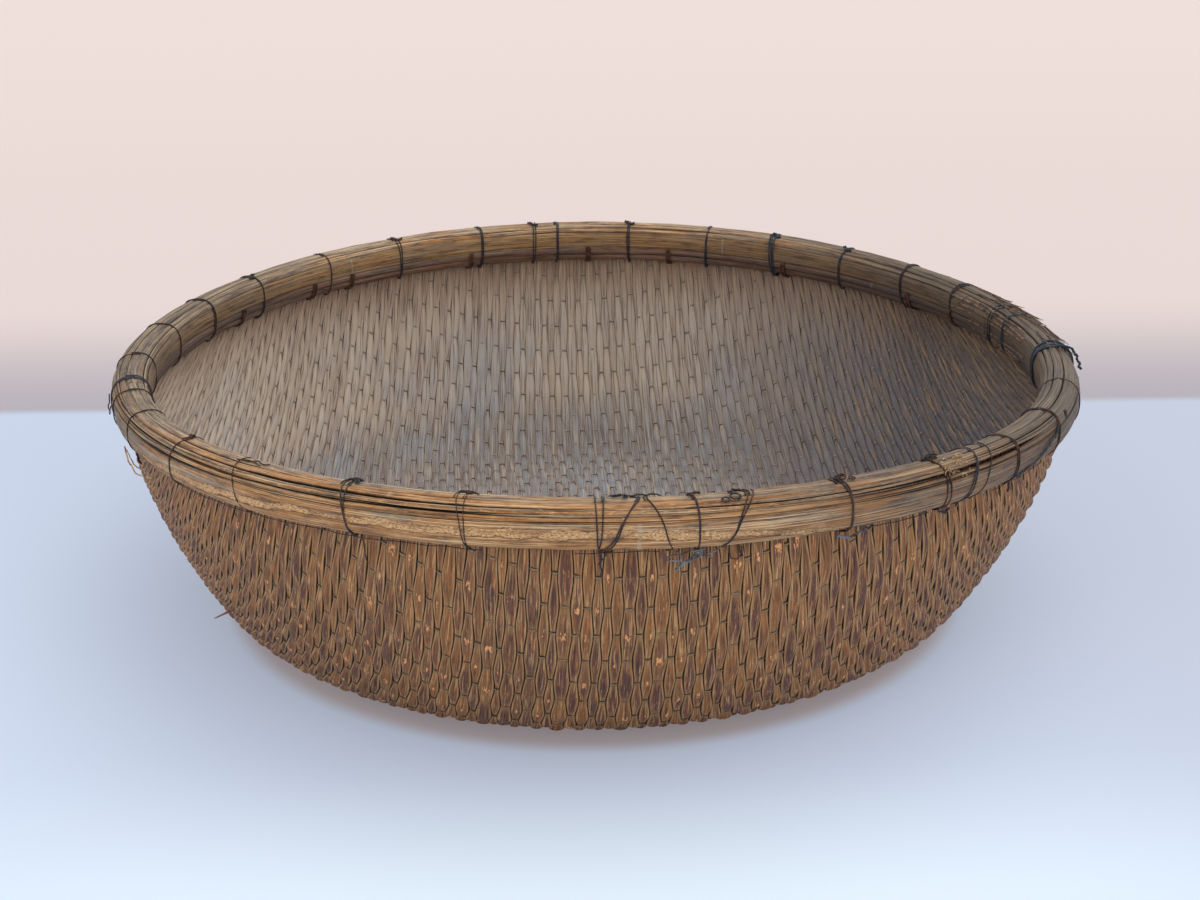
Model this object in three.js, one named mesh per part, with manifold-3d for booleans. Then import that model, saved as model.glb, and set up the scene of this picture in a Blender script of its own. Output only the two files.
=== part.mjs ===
// Harvest basket: a wide, shallow tray of willow rods that run from front to back side by side.
// The rods are held in a rim bundle of split slats, and the bundle is tied with iron wire.
// Millimetres, +Z up, origin at the middle of the flat floor's underside, front towards -Y.

import * as THREE from 'three';
import Module from 'manifold-3d';
import { mergeVertices } from 'three/addons/utils/BufferGeometryUtils.js';

const wasm = await Module();
wasm.setup();

const DEGREE = Math.PI / 180;

// The woven panel's outer face, followed from the middle of the floor up to the wall's top edge
const floorRadius = 222;
const kneeRadius = 60;
const kneeTurn = 57 * DEGREE;
const wallLength = 101;
const wallTurn = 16 * DEGREE;
const collarLength = 30;
const rimWallHeight = 28;
const panelThickness = 6.6;

// How the willow rods lie in the panel. Each band is one solid for ten rods beside each other.
// Its faces have creases between ribs, where the real ones have them between all the rods. The
// underside has none where the basket stands, and they start a margin past the flat floor.
const bandCount = 13;
const bandGap = 0.4;
const ribsPerBand = 3;
const creaseDepth = 1.5;
const creaseMargin = 1;
const panelTurn = 3.4 * DEGREE;
const lastRodBearing = 73.2 * DEGREE;
const middleRodBow = 3.2;
const lastRodBow = 2;
const bowChange = 6;

// The rim bundle's section round the middle of the wall in it: half its width, how far it rises,
// and how far it drops outside and inside
const bundleHalfWidth = 13;
const bundleRise = 14.2;
const bundleOuterDrop = 12.9;
const bundleInnerDrop = 17.6;
const bundleRoundness = 2.6;
const wallTopAboveMiddle = 9.5;
const slatGap = 0.35;
const seatGap = 0.7;
const slatEdgeRelief = 1;
const outerLowerTop = 3.2;
const outerMiddleTop = 6.5;
const underReach = 1.5;
const topSlatSpread = 9.2;
const broadStripThickness = 5;
const broadStripBottom = -4.5;

// The rim has sagged at the sides and risen at the back, has gone a little oval, and has shifted
const rimWave = 4.5;
const rimWaveBearing = 2 * DEGREE;
const rimBackRise = 2;
const rimOval = 3.7;
const rimOvalBearing = 48.5 * DEGREE;
const rimShift = [1.4, -1];

// The joint at the right-hand end, where one wide slat bridges the ends of the others
const jointStart = -30 * DEGREE;
const jointEnd = -5 * DEGREE;
const buttGap = 1.2;
const lowerButtBearing = 195 * DEGREE;
const broadButtBearing = 15 * DEGREE;

// Iron wire
const wireGap = 0.9;
const tieDiameter = 1.5;
const tiePitch = 2.3;
const tieOverlap = 0.08;
const bindingDiameter = 2.2;
const bindingPitch = 2.7;
const bindingBearing = -4.4 * DEGREE;
const bindingStart = 0.25;
const bindingEnd = 3.75;
const bindingTailShare = 0.1;
const bindingTailReach = 14;
const bindingTailDrop = 12;
const wireSlotClearance = 0.5;
const wireSlotDepth = 13;

// Where each tie crosses the rim: bearing in degrees from +X, and how far its top leans
const ties = [
  [-129.5, -2], [-115.2, -1.5], [-102.9, -1], [-89.7, 0], [-87.6, 2.4], [-84, -2.2],
  [-80.4, -0.8], [-76.5, 2.4], [-65.1, 0], [-53.3, -0.5], [-49.2, 2.4], [-47, 2.4],
  [-41.8, 1], [-31, 0], [-19.5, 0], [9.7, 0], [14, 0], [24.5, 0], [35.5, 0],
  [47.8, 0], [60, 0], [71.3, 0], [84, 0], [95.5, 0], [99.3, 0], [107.8, 0],
  [121.3, 0], [134, 0], [147.5, 0], [159.3, 0], [170.3, 0], [183.5, -2], [194, 0],
  [198, 0], [206.7, 0], [219.2, 0],
];

// How finely the surfaces are divided
const ringStep = 5 * DEGREE;
const wireSides = 5;
const tieSteps = 12;
const stepsPerBindingTurn = 12;
const weldDistance = 1e-4;

// Stretches of the panel's outer face, and the sizes that follow from them
const kneeLength = kneeRadius * kneeTurn;
const upright = Math.PI / 2;
const collarTurn = upright - kneeTurn - wallTurn;
const stretches = [
  { length: floorRadius, turn: 0 },
  { length: kneeLength, turn: kneeTurn },
  { length: wallLength, turn: wallTurn },
  { length: collarLength, turn: collarTurn },
  { length: rimWallHeight, turn: 0 },
];
const faceLength = stretches.reduce((sum, stretch) => sum + stretch.length, 0);
const wallTop = faceAt(faceLength);
const rimRadius = wallTop.radius - panelThickness / 2;
const rimHeight = wallTop.height - wallTopAboveMiddle;
const turn = 2 * Math.PI;

// A point on the panel's outer face, at a length measured up the face from the floor's middle.
// Each stretch is a straight line or an arc that carries on from the slope before it.
function faceAt(length) {
  let radius = 0;
  let height = 0;
  let slope = 0;
  let left = length;
  for (const stretch of stretches) {
    const part = Math.min(left, stretch.length);
    if (stretch.turn === 0) {
      radius += part * Math.cos(slope);
      height += part * Math.sin(slope);
    } else {
      const bend = stretch.length / stretch.turn;
      const next = slope + part / bend;
      radius += bend * (Math.sin(next) - Math.sin(slope));
      height += bend * (Math.cos(slope) - Math.cos(next));
      slope = next;
    }
    left -= part;
    if (left <= 0) break;
  }
  return { radius, height, slope };
}

// The old rim's changes of shape, none at the floor and in full from the rim's middle up
function settle(point) {
  const above = (point.z - panelThickness) / (rimHeight - panelThickness);
  const share = THREE.MathUtils.clamp(above, 0, 1);
  const bearing = Math.atan2(point.y, point.x);
  const stretch = 1 - share * rimOval * Math.cos(2 * (bearing - rimOvalBearing)) / rimRadius;
  point.x = point.x * stretch + share * rimShift[0];
  point.y = point.y * stretch + share * rimShift[1];
  point.z -= share * rimWave * Math.cos(2 * (bearing - rimWaveBearing));
  point.z += share * rimBackRise * Math.sin(bearing);
  return point;
}

// A closed geometry with shared corners, as its position attribute and index alone
function welded(geometry) {
  geometry.deleteAttribute('normal');
  geometry.deleteAttribute('uv');
  return mergeVertices(geometry, weldDistance);
}

// Moves every corner of a geometry to where place() puts it
function bend(geometry, place) {
  const position = geometry.attributes.position;
  const point = new THREE.Vector3();
  for (let index = 0; index < position.count; index += 1) {
    place(point.fromBufferAttribute(position, index));
    position.setXYZ(index, point.x, point.y, point.z);
  }
  return welded(geometry);
}

function solidFrom(geometry) {
  return new wasm.Manifold(new wasm.Mesh({
    numProp: 3,
    vertProperties: new Float32Array(geometry.attributes.position.array),
    triVerts: new Uint32Array(geometry.index.array),
  }));
}

function geometryFrom(solid) {
  const mesh = solid.getMesh();
  const geometry = new THREE.BufferGeometry();
  geometry.setAttribute('position', new THREE.BufferAttribute(mesh.vertProperties, 3));
  geometry.setIndex(new THREE.BufferAttribute(mesh.triVerts, 1));
  return geometry;
}

// Flat map of the panel: distance and bearing from its middle, for the rod at share `rod` of the
// half width and the share `along` of its own half length. Rods bow outwards towards the sides.
function panelMap(rod, along) {
  const share = Math.abs(rod);
  const bearing = lastRodBearing * share;
  const middle = faceLength * share;
  const end = faceLength * Math.sin(bearing);
  const bow = THREE.MathUtils.lerp(middleRodBow, lastRodBow, share ** bowChange);
  const across = Math.sign(rod) * (middle + (end - middle) * Math.abs(along) ** bow);
  const forward = faceLength * Math.cos(bearing) * along;
  return { length: Math.hypot(across, forward), bearing: Math.atan2(forward, across) };
}

// The share of a rod's half length at which it climbs past a length of the face
function climbPast(rod, length) {
  let low = 0;
  let high = 1;
  for (let halving = 0; halving < 30; halving += 1) {
    const middle = (low + high) / 2;
    if (panelMap(rod, middle).length > length) high = middle;
    else low = middle;
  }
  return high;
}

// Lengths up the face where every rod has a row of corners, so that the facets follow its bends.
// Rods at the sides never cross the lower ones, so each also has a least share of the half rod.
const kneeEnd = floorRadius + kneeLength;
const collarStart = kneeEnd + wallLength;
const collarEnd = collarStart + collarLength;
const rowStops = [
  floorRadius / 2, floorRadius,
  floorRadius + kneeLength / 4, floorRadius + kneeLength / 2, kneeEnd - kneeLength / 4, kneeEnd,
  kneeEnd + wallLength / 3, collarStart - wallLength / 3, collarStart,
  collarStart + collarLength / 2, collarEnd,
];

// The share of a rod's half length at a row, counted from its middle; the last row is its tip
function rowShare(rod, row) {
  const last = rowStops.length + 1;
  const size = Math.round(Math.abs(row));
  if (size === 0 || size === last) return Math.sign(row) * Math.min(size, 1);
  return Math.sign(row) * Math.max(climbPast(rod, rowStops[size - 1]), size / last);
}

// Puts a point of the panel in space, at a depth behind the outer face
function placeOnPanel(point, rod, along, depth) {
  const flat = panelMap(rod, along);
  const face = faceAt(Math.min(flat.length, faceLength));
  const radius = face.radius - depth * Math.sin(face.slope);
  const bearing = flat.bearing + panelTurn;
  point.x = radius * Math.cos(bearing);
  point.y = radius * Math.sin(bearing);
  point.z = face.height + depth * Math.cos(face.slope);
  return settle(point);
}

// Puts a point of the rim's section in space: out from the wall's middle, up, and round the rim
function placeOnRim(point, out, up, bearing) {
  point.x = (rimRadius + out) * Math.cos(bearing);
  point.y = (rimRadius + out) * Math.sin(bearing);
  point.z = rimHeight + up;
  return settle(point);
}

// The bundle's outline: how far out it reaches at a height, and how high at a distance
function outlineOut(up, drop) {
  const share = Math.min(up < 0 ? -up / drop : up / bundleRise, 1);
  return bundleHalfWidth * (1 - share ** bundleRoundness) ** (1 / bundleRoundness);
}

function outlineUp(out) {
  const share = Math.min(Math.abs(out) / bundleHalfWidth, 1);
  return bundleRise * (1 - share ** bundleRoundness) ** (1 / bundleRoundness);
}

// Turns the diagonals on a block's right side, so that they match the left side of its neighbour
function matchSides(block) {
  const { start, count } = block.groups[0];
  const cornersPerSquare = 6;
  for (let first = start; first < start + count; first += cornersPerSquare) {
    const [a, b, d, c] = [0, 1, 2, 4].map((corner) => block.index.getX(first + corner));
    [a, b, c, a, c, d].forEach((corner, place) => block.index.setX(first + place, corner));
  }
  return block;
}

// How deep the surface lies at a column of a band: every other column is a crease
function creaseAt(column, rod, along) {
  const onFloor = panelMap(rod, Math.abs(along)).length < floorRadius + creaseMargin;
  const crease = column % 2 === 0 ? creaseDepth : 0;
  return { outer: onFloor ? 0 : crease, inner: crease };
}

// A band of neighbouring rods: a divided block bent front to back along the panel map
function rodBand(index, slots) {
  const bandRows = 2 * (rowStops.length + 1);
  const columns = 2 * ribsPerBand;
  const block = new THREE.BoxGeometry(1, 1, 1, columns, bandRows, 1);
  const bandWidth = 2 / bandCount;
  const middle = -1 + (index + 0.5) * bandWidth;
  const gap = bandGap / faceLength;
  const band = bend(matchSides(block), (point) => {
    const rod = middle + point.x * (bandWidth - gap);
    const along = rowShare(middle + point.x * bandWidth, point.y * bandRows);
    const crease = creaseAt(Math.round((point.x + 0.5) * columns), rod, along);
    const depth = point.z < 0 ? crease.outer : panelThickness - crease.inner;
    return placeOnPanel(point, rod, along, depth);
  });
  return geometryFrom(slots.reduce((solid, slot) => solid.subtract(slot), solidFrom(band)));
}

// A slat carried round the rim from one bearing to another, with its section given by a function
function rimSlat(section, start, end, columns, layers) {
  const rows = Math.round((end - start) / ringStep);
  const block = new THREE.BoxGeometry(1, 1, 1, columns, rows, layers);
  return bend(block, (point) => {
    const [out, up] = section(point.x + 0.5, point.z + 0.5);
    const bearing = THREE.MathUtils.lerp(start, end, point.y + 0.5);
    return placeOnRim(point, out, up, bearing);
  });
}

// Sections: `across` and `rise` run from 0 to 1 over the slat's own width and height
function sideSection(inner, outer, bottom, top) {
  return (across, rise) => {
    const up = THREE.MathUtils.lerp(bottom, top, rise);
    const relief = slatEdgeRelief * Math.abs(2 * rise - 1);
    const near = inner(up);
    const far = outer(up, relief);
    return [THREE.MathUtils.lerp(near, far, across), up];
  };
}

function topSection(near, far) {
  return (across, rise) => {
    const out = THREE.MathUtils.lerp(near, far, across);
    const top = outlineUp(out) - slatEdgeRelief * Math.abs(2 * across - 1) / 2;
    return [out, THREE.MathUtils.lerp(wallTopAboveMiddle + seatGap, top, rise)];
  };
}

const seatOut = panelThickness / 2 + seatGap;
const outerFace = (up, relief) => outlineOut(up, bundleOuterDrop) - relief;
const outerSeat = () => seatOut;
const innerFace = (up) => -outlineOut(up, bundleInnerDrop) + slatEdgeRelief / 2;
const innerSeat = () => -seatOut;
const broadBack = (up) => -outlineOut(up, bundleInnerDrop) + broadStripThickness;
const outerUnderside = underReach - bundleOuterDrop;
const innerUnderside = underReach - bundleInnerDrop;
const packFace = (up) => broadBack(up) + slatGap;
const sideTop = wallTopAboveMiddle;
const ringGap = buttGap / rimRadius;

// The rim's long pieces, each bent once round the rim with its two ends meeting
function rimSlats() {
  const fullRound = (bearing) => [bearing + ringGap / 2, bearing + turn - ringGap / 2];
  const round = (section, bearing, columns, layers) =>
    rimSlat(section, ...fullRound(bearing), columns, layers);
  const upToJoint = (section, columns, layers) =>
    rimSlat(section, jointEnd + ringGap, jointStart + turn - ringGap, columns, layers);
  const lower = sideSection(outerSeat, outerFace, outerUnderside, outerLowerTop);
  const middle = sideSection(outerSeat, outerFace, outerLowerTop + slatGap, outerMiddleTop);
  const upper = sideSection(outerSeat, outerFace, outerMiddleTop + slatGap, sideTop);
  const broad = sideSection(innerFace, broadBack, broadStripBottom, sideTop);
  const pack = sideSection(packFace, innerSeat, broadStripBottom, sideTop);
  const under = sideSection(innerFace, innerSeat, innerUnderside, broadStripBottom - slatGap);
  return {
    rim_outer_lower_slat: round(lower, lowerButtBearing, 1, 2),
    rim_outer_middle_slat: upToJoint(middle, 1, 2),
    rim_outer_upper_slat: upToJoint(upper, 1, 2),
    rim_top_outer_slat: upToJoint(topSection(slatGap / 2, topSlatSpread), 2, 1),
    rim_top_inner_slat: round(topSection(-topSlatSpread, -slatGap / 2), lowerButtBearing, 2, 1),
    rim_inner_broad_strip: round(broad, broadButtBearing, 1, 2),
    rim_inner_packing_strip: round(pack, lowerButtBearing, 1, 2),
    rim_inner_lower_rods: round(under, broadButtBearing, 1, 2),
  };
}

// The wide slat that bridges the joint, seated where the three interrupted slats would be.
// Its section climbs the outer side in three layers, and a fourth laps over the wall's top.
function jointCoverSlat() {
  const layers = 4;
  const shoulder = 1 - 1 / layers;
  const bottom = outerLowerTop + slatGap;
  const lap = wallTopAboveMiddle + slatGap;
  const crown = bundleRise - slatEdgeRelief;
  const section = (across, rise) => {
    const overTop = rise > shoulder;
    const up = overTop ? crown : THREE.MathUtils.lerp(bottom, lap, rise / shoulder);
    const near = overTop ? slatGap : seatOut;
    return [THREE.MathUtils.lerp(near, outlineOut(up, bundleOuterDrop), across), up];
  };
  return rimSlat(section, jointStart, jointEnd, 1, layers);
}

// A wire's path round the bundle, wound from a start to an end counted in turns from the top.
// The last share of it, if it has a tail, leaves the bundle outwards and droops.
class WirePath extends THREE.Curve {
  constructor({ bearing, lean = 0, radius, pitch, start, end, tailShare = 0 }) {
    super();
    Object.assign(this, { bearing, lean, radius, pitch, start, end, tailShare });
  }

  getPoint(share, target = new THREE.Vector3()) {
    const woundShare = 1 - this.tailShare;
    const turns = THREE.MathUtils.lerp(this.start, this.end, Math.min(share / woundShare, 1));
    const leave = share > woundShare ? (share - woundShare) / this.tailShare : 0;
    const [across, rise] = outlinePoint(turns * turn + upright);
    const reach = wireGap + this.radius;
    const onBundle = (bundleHalfWidth + reach) * across;
    const half = rise > 0 ? bundleRise : dropBelow(onBundle);
    const out = onBundle + bindingTailReach * leave;
    const up = (half + reach) * rise - bindingTailDrop * leave ** 2;
    const fromMiddle = turns - (this.start + this.end) / 2;
    const advance = this.pitch * fromMiddle / rimRadius;
    const tip = this.lean * up / (2 * bundleRise);
    return placeOnRim(target, out, up, this.bearing + tip + advance);
  }
}

// The point of the bundle's outline at an angle round it, as shares of its half width and height
function outlinePoint(angle) {
  return [Math.cos(angle), Math.sin(angle)].map((part) =>
    Math.sign(part) * Math.abs(part) ** (2 / bundleRoundness));
}

// How far the bundle drops at a distance out: the change between its sides is inside the wall
function dropBelow(out) {
  const inward = THREE.MathUtils.clamp(0.5 - out / panelThickness, 0, 1);
  return THREE.MathUtils.lerp(bundleOuterDrop, bundleInnerDrop, inward);
}

function wireAlong(path, radius, steps) {
  const section = new THREE.Shape();
  for (let side = 0; side < wireSides; side += 1) {
    const angle = side * turn / wireSides;
    const corner = [radius * Math.cos(angle), radius * Math.sin(angle)];
    if (side === 0) section.moveTo(...corner);
    else section.lineTo(...corner);
  }
  section.closePath();
  return welded(new THREE.ExtrudeGeometry(section, { steps, extrudePath: path }));
}

// A slot through the woven wall, just under the bundle, where a wire passes between two rods
function wireSlot(bearing, width, diameter) {
  const slant = (bundleInnerDrop - bundleOuterDrop) / 2;
  const height = diameter + 2 * wireSlotClearance + wireGap + slant;
  const centre = -(dropBelow(0) + wireGap + diameter / 2);
  const block = new THREE.BoxGeometry(wireSlotDepth, width / rimRadius, height);
  return solidFrom(bend(block, (point) =>
    placeOnRim(point, point.x, centre + point.z, bearing + point.y)));
}

const tieLoops = ties.map(([degrees, leanDegrees], index) => {
  const bearing = degrees * DEGREE;
  const lean = leanDegrees * DEGREE;
  const radius = tieDiameter / 2;
  const [start, end] = [-tieOverlap, 1 + tieOverlap];
  const path = new WirePath({ bearing, lean, radius, pitch: tiePitch, start, end });
  const reach = dropBelow(0) + wireGap + radius;
  const foot = bearing - lean * reach / (2 * bundleRise);
  const width = tieDiameter + 2 * wireSlotClearance + tiePitch / 4;
  return {
    name: `wire_tie_${String(index + 1).padStart(2, '0')}`,
    geometry: wireAlong(path, radius, tieSteps),
    slot: wireSlot(foot, width, tieDiameter),
  };
});

const bindingTurns = bindingEnd - bindingStart;
const binding = new WirePath({
  bearing: bindingBearing,
  radius: bindingDiameter / 2,
  pitch: bindingPitch,
  start: bindingStart,
  end: bindingEnd,
  tailShare: bindingTailShare,
});
const bindingSlotWidth = bindingTurns * bindingPitch + bindingDiameter + 2 * wireSlotClearance;
const bindingSlot = wireSlot(bindingBearing, bindingSlotWidth, bindingDiameter);
const slots = [...tieLoops.map((tie) => tie.slot), bindingSlot];

// Finishes: weathered willow, bamboo-like slats in several tones, dark iron wire
const willow = { color: 0x7a5a42, roughness: 0.8, metalness: 0 };
const greySlat = { color: 0x8b7358, roughness: 0.75, metalness: 0 };
const tanSlat = { color: 0xa07a4c, roughness: 0.72, metalness: 0 };
const smoothStrip = { color: 0x8f6f3f, roughness: 0.6, metalness: 0 };
const darkWire = { color: 0x2c2a2b, roughness: 0.55, metalness: 0.6 };

const basket = new THREE.Group();

function addPiece(name, geometry, finish) {
  const material = new THREE.MeshStandardMaterial({ ...finish, flatShading: true });
  const mesh = new THREE.Mesh(geometry, material);
  mesh.name = name;
  basket.add(mesh);
}

for (let index = 0; index < bandCount; index += 1) {
  const name = `willow_rods_${String(index + 1).padStart(2, '0')}`;
  addPiece(name, rodBand(index, slots), willow);
}

const slatFinish = {
  rim_outer_lower_slat: tanSlat,
  rim_outer_middle_slat: tanSlat,
  rim_inner_broad_strip: smoothStrip,
};
for (const [name, geometry] of Object.entries(rimSlats())) {
  addPiece(name, geometry, slatFinish[name] ?? greySlat);
}
addPiece('rim_joint_cover_slat', jointCoverSlat(), greySlat);

for (const tie of tieLoops) addPiece(tie.name, tie.geometry, darkWire);
const bindingSteps = Math.round(bindingTurns / (1 - bindingTailShare) * stepsPerBindingTurn);
addPiece('joint_binding_wire', wireAlong(binding, bindingDiameter / 2, bindingSteps), darkWire);

export default basket;
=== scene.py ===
# %% [markdown]
# # A harvest basket, dressed with procedural detail
#
# The real basket is one layer of willow rods that run side by side from front to back. Thin twine
# crosses them in rows and holds them together. A bundle of split slats is tied round the top edge
# with iron wire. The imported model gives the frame: where the woven panel, the slats and the wires
# are. This script replaces those plain solids with the rods, twine, slats and wire themselves.
#
# Everything on the panel is placed by one map, from rod number, row number and depth to a point in
# space. Everything on the rim is placed by a second map, from the bearing round the rim and a place
# on the bundle's outline. Whole pieces are then single array expressions. Curves, modifiers and
# sculpting could make them too, but rods, twine and wire have to miss each other by less than a
# millimetre, and with shared maps they do so by themselves.

import bpy
import numpy as np
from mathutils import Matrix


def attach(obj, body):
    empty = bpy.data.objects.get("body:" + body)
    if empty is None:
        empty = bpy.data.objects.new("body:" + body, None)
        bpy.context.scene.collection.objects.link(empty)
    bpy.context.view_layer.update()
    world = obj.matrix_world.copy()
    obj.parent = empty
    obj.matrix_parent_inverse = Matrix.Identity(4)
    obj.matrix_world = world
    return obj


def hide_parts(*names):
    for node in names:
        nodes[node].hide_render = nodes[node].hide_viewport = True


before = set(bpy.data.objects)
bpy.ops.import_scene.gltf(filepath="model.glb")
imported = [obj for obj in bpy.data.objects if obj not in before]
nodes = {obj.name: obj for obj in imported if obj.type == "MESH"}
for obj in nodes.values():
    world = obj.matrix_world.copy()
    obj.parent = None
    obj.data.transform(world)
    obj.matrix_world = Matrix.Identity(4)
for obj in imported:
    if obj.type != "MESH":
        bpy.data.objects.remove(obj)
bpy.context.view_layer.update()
print("frame:", len(nodes), "nodes")

# %% Sizes that the frame was built with, in millimetres and radians
DEGREE = np.pi / 180
PANEL_THICKNESS = 6.6
FLOOR_RADIUS = 222
KNEE_RADIUS, KNEE_TURN = 60, 57 * DEGREE
WALL_LENGTH, WALL_TURN = 101, 16 * DEGREE
COLLAR_LENGTH, COLLAR_TURN = 30, 17 * DEGREE
RIM_WALL_HEIGHT = 28
STRETCHES = (
    (FLOOR_RADIUS, 0),
    (KNEE_RADIUS * KNEE_TURN, KNEE_TURN),
    (WALL_LENGTH, WALL_TURN),
    (COLLAR_LENGTH, COLLAR_TURN),
    (RIM_WALL_HEIGHT, 0),
)
FACE_LENGTH = sum(length for length, _ in STRETCHES)
PANEL_TURN = 3.4 * DEGREE
LAST_ROD_BEARING = 73.2 * DEGREE
WALL_TOP_ABOVE_MIDDLE = 9.5
WALL_HALF = PANEL_THICKNESS / 2
BUNDLE_HALF_WIDTH, BUNDLE_ROUNDNESS = 13, 2.6
BUNDLE_RISE, OUTER_DROP, INNER_DROP = 14.2, 12.9, 17.6
RIM_WAVE, RIM_WAVE_BEARING = 4.5, 2 * DEGREE
RIM_BACK_RISE = 2
RIM_OVAL, RIM_OVAL_BEARING = 3.7, 48.5 * DEGREE
RIM_SHIFT = (1.4, -1)

RODS_IN_BAND = np.array([14, 14, 13, 12, 11, 11, 11, 11, 11, 12, 13, 14, 14])
BAND_COUNT = len(RODS_IN_BAND)
ROD_COUNT = int(RODS_IN_BAND.sum())


# %% [markdown]
# ## The panel's map
#
# The panel's outer face is a chain of straight lines and arcs, followed from the middle of the
# floor. A rod is a curve in the flat map of that face. Near the middle it runs straight, and towards
# the sides it bows outwards, because the maker pulled the rods together under the rim. The rim has
# also sagged at the sides and gone a little oval, and `settle` adds both.
#
# A lattice or a curve modifier could bend a flat mat into this bowl. A written map is chosen because
# it gives any point exactly, so the same rod can be asked for by the twine and by the wires.

# %% The face, its settling, and points in space
def face_at(length):
    """Radius, height and slope of the outer face at a length up it: lines and arcs, end to end."""
    radius, height, slope = (np.zeros_like(length) for _ in range(3))
    left = length
    for stretch, turn in STRETCHES:
        part = np.clip(left, 0, stretch)
        if turn == 0:
            radius = radius + part * np.cos(slope)
            height = height + part * np.sin(slope)
        else:
            bend = stretch / turn
            after = slope + part / bend
            radius = radius + bend * (np.sin(after) - np.sin(slope))
            height = height + bend * (np.cos(slope) - np.cos(after))
            slope = after
        left = left - stretch
    return radius, height, slope


top_radius, top_height, _ = face_at(np.float64(FACE_LENGTH))
RIM_RADIUS = float(top_radius) - PANEL_THICKNESS / 2
RIM_HEIGHT = float(top_height) - WALL_TOP_ABOVE_MIDDLE


def settle(radius, height, bearing):
    """Metres in space. Above the floor the radius loses a share of an oval, cos(2 bearing), the
    height loses the same share of a wave, also cos(2 bearing), and gains a slope towards the back,
    sin(bearing); the whole also shifts a little sideways. The share is 1 at the rim."""
    share = np.clip((height - PANEL_THICKNESS) / (RIM_HEIGHT - PANEL_THICKNESS), 0, 1)
    oval = share * RIM_OVAL * np.cos(2 * (bearing - RIM_OVAL_BEARING)) / RIM_RADIUS
    wave = share * RIM_WAVE * np.cos(2 * (bearing - RIM_WAVE_BEARING))
    slope = share * RIM_BACK_RISE * np.sin(bearing)
    reach = radius * (1 - oval)
    x = reach * np.cos(bearing) + share * RIM_SHIFT[0]
    y = reach * np.sin(bearing) + share * RIM_SHIFT[1]
    return np.stack([x, y, height - wave + slope], -1) / 1000


# %% Where the twine rows lie: close together on the floor, further apart up the wall
FLOOR_ROW, WALL_ROW = 15.5, 21.5
ROWS_WIDEN_AT = (270, 335)
SIDE_CROWDING = 0.95
CROWDING_BEARING, CROWDING_POWER = 38 * DEGREE, 2.5
row_lengths = np.linspace(0, FACE_LENGTH, 600)
row_spacing = np.interp(row_lengths, ROWS_WIDEN_AT, [FLOOR_ROW, WALL_ROW])
row_numbers = np.concatenate([[0], np.cumsum(np.diff(row_lengths) / row_spacing[1:])])


def rod_bearing(rod):
    return LAST_ROD_BEARING * np.abs(rod)


def crowding(rod):
    """How close together the rows lie on a rod, against the middle rod: they follow the rim at the
    front and settle at a fixed share towards the sides, side + (1 - side) / (1 + turn^2.5)."""
    turn = rod_bearing(rod) / CROWDING_BEARING
    return SIDE_CROWDING + (1 - SIDE_CROWDING) / (1 + turn**CROWDING_POWER)


def last_row(rod):
    """The row number at a rod's tip, where the rod meets the wall's top edge."""
    reach = FACE_LENGTH * np.cos(rod_bearing(rod)) / crowding(rod)
    return np.interp(reach, row_lengths, row_numbers)


# %% From rod, row and height to a point in space
BOW_POWER, BOW_EASING, BOW_EASING_POWER = 3.2, 1.2, 6


def panel_point(rod, row, height):
    """A point of the panel. `rod` runs from -1 to 1 across it, `row` counts twine rows from the
    middle, and `height` is outwards from the panel's middle surface. The flat map puts the rod at
    across = middle + (end - middle) * share^bow, where share is the part of its half length. The
    bow is gentler near the sides: power - easing * rod^6."""
    share_across = np.abs(rod)
    cosine = np.cos(rod_bearing(rod))
    upright = np.interp(np.abs(row), row_numbers, row_lengths)
    forward = upright * crowding(rod)
    share = np.clip(forward / (FACE_LENGTH * cosine), 0, 1)
    bow = BOW_POWER - BOW_EASING * share_across**BOW_EASING_POWER
    middle = FACE_LENGTH * share_across
    end = FACE_LENGTH * np.sin(rod_bearing(rod))
    across = np.sign(rod) * (middle + (end - middle) * share**bow)
    forward = np.sign(row) * share * FACE_LENGTH * cosine
    radius, face_height, slope = face_at(np.minimum(np.hypot(across, forward), FACE_LENGTH))
    depth = PANEL_THICKNESS / 2 - height
    bearing = np.arctan2(forward, across) + PANEL_TURN
    return settle(radius - depth * np.sin(slope), face_height + depth * np.cos(slope), bearing)


print("rim radius", round(RIM_RADIUS, 1), "rim height", round(RIM_HEIGHT, 1))
print("rows from the middle to the wall's top:", round(float(row_numbers[-1]), 1))


# %% [markdown]
# ## The rim's map
#
# The bundle's section is a rounded box round the wall's top edge. A place on it is an angle round
# that outline, from 0 at the outer side through 90 degrees on top, and an offset out from it. A
# curve with a bevel profile would make the bundle as one tube. The map is used because each slat
# needs its own part of the outline, and the ties have to lie on top of all of them.

# %% Points on the rim bundle
def outline(angle, offset=0.0):
    """Out and up from the wall's middle: a superellipse, moved along its own outward normal. Its
    lower half hangs deeper on the inside than on the outside."""
    cosine, sine = np.cos(angle), np.sin(angle)
    drop = np.where(cosine > 0, OUTER_DROP, INNER_DROP)
    half_height = np.where(sine > 0, BUNDLE_RISE, drop)
    power = 2 / BUNDLE_ROUNDNESS
    across = np.sign(cosine) * np.abs(cosine) ** power
    rise = np.sign(sine) * np.abs(sine) ** power
    slant = BUNDLE_ROUNDNESS - 1
    normal_out = np.sign(across) * np.abs(across) ** slant / BUNDLE_HALF_WIDTH
    normal_up = np.sign(rise) * np.abs(rise) ** slant / half_height
    size = np.hypot(normal_out, normal_up)
    out = BUNDLE_HALF_WIDTH * across + offset * normal_out / size
    up = half_height * rise + offset * normal_up / size
    return out, up


def rim_point(bearing, out, up):
    """A point given by its bearing and its distance out and up from the wall's middle."""
    return settle(RIM_RADIUS + out, RIM_HEIGHT + up, bearing)


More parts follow.
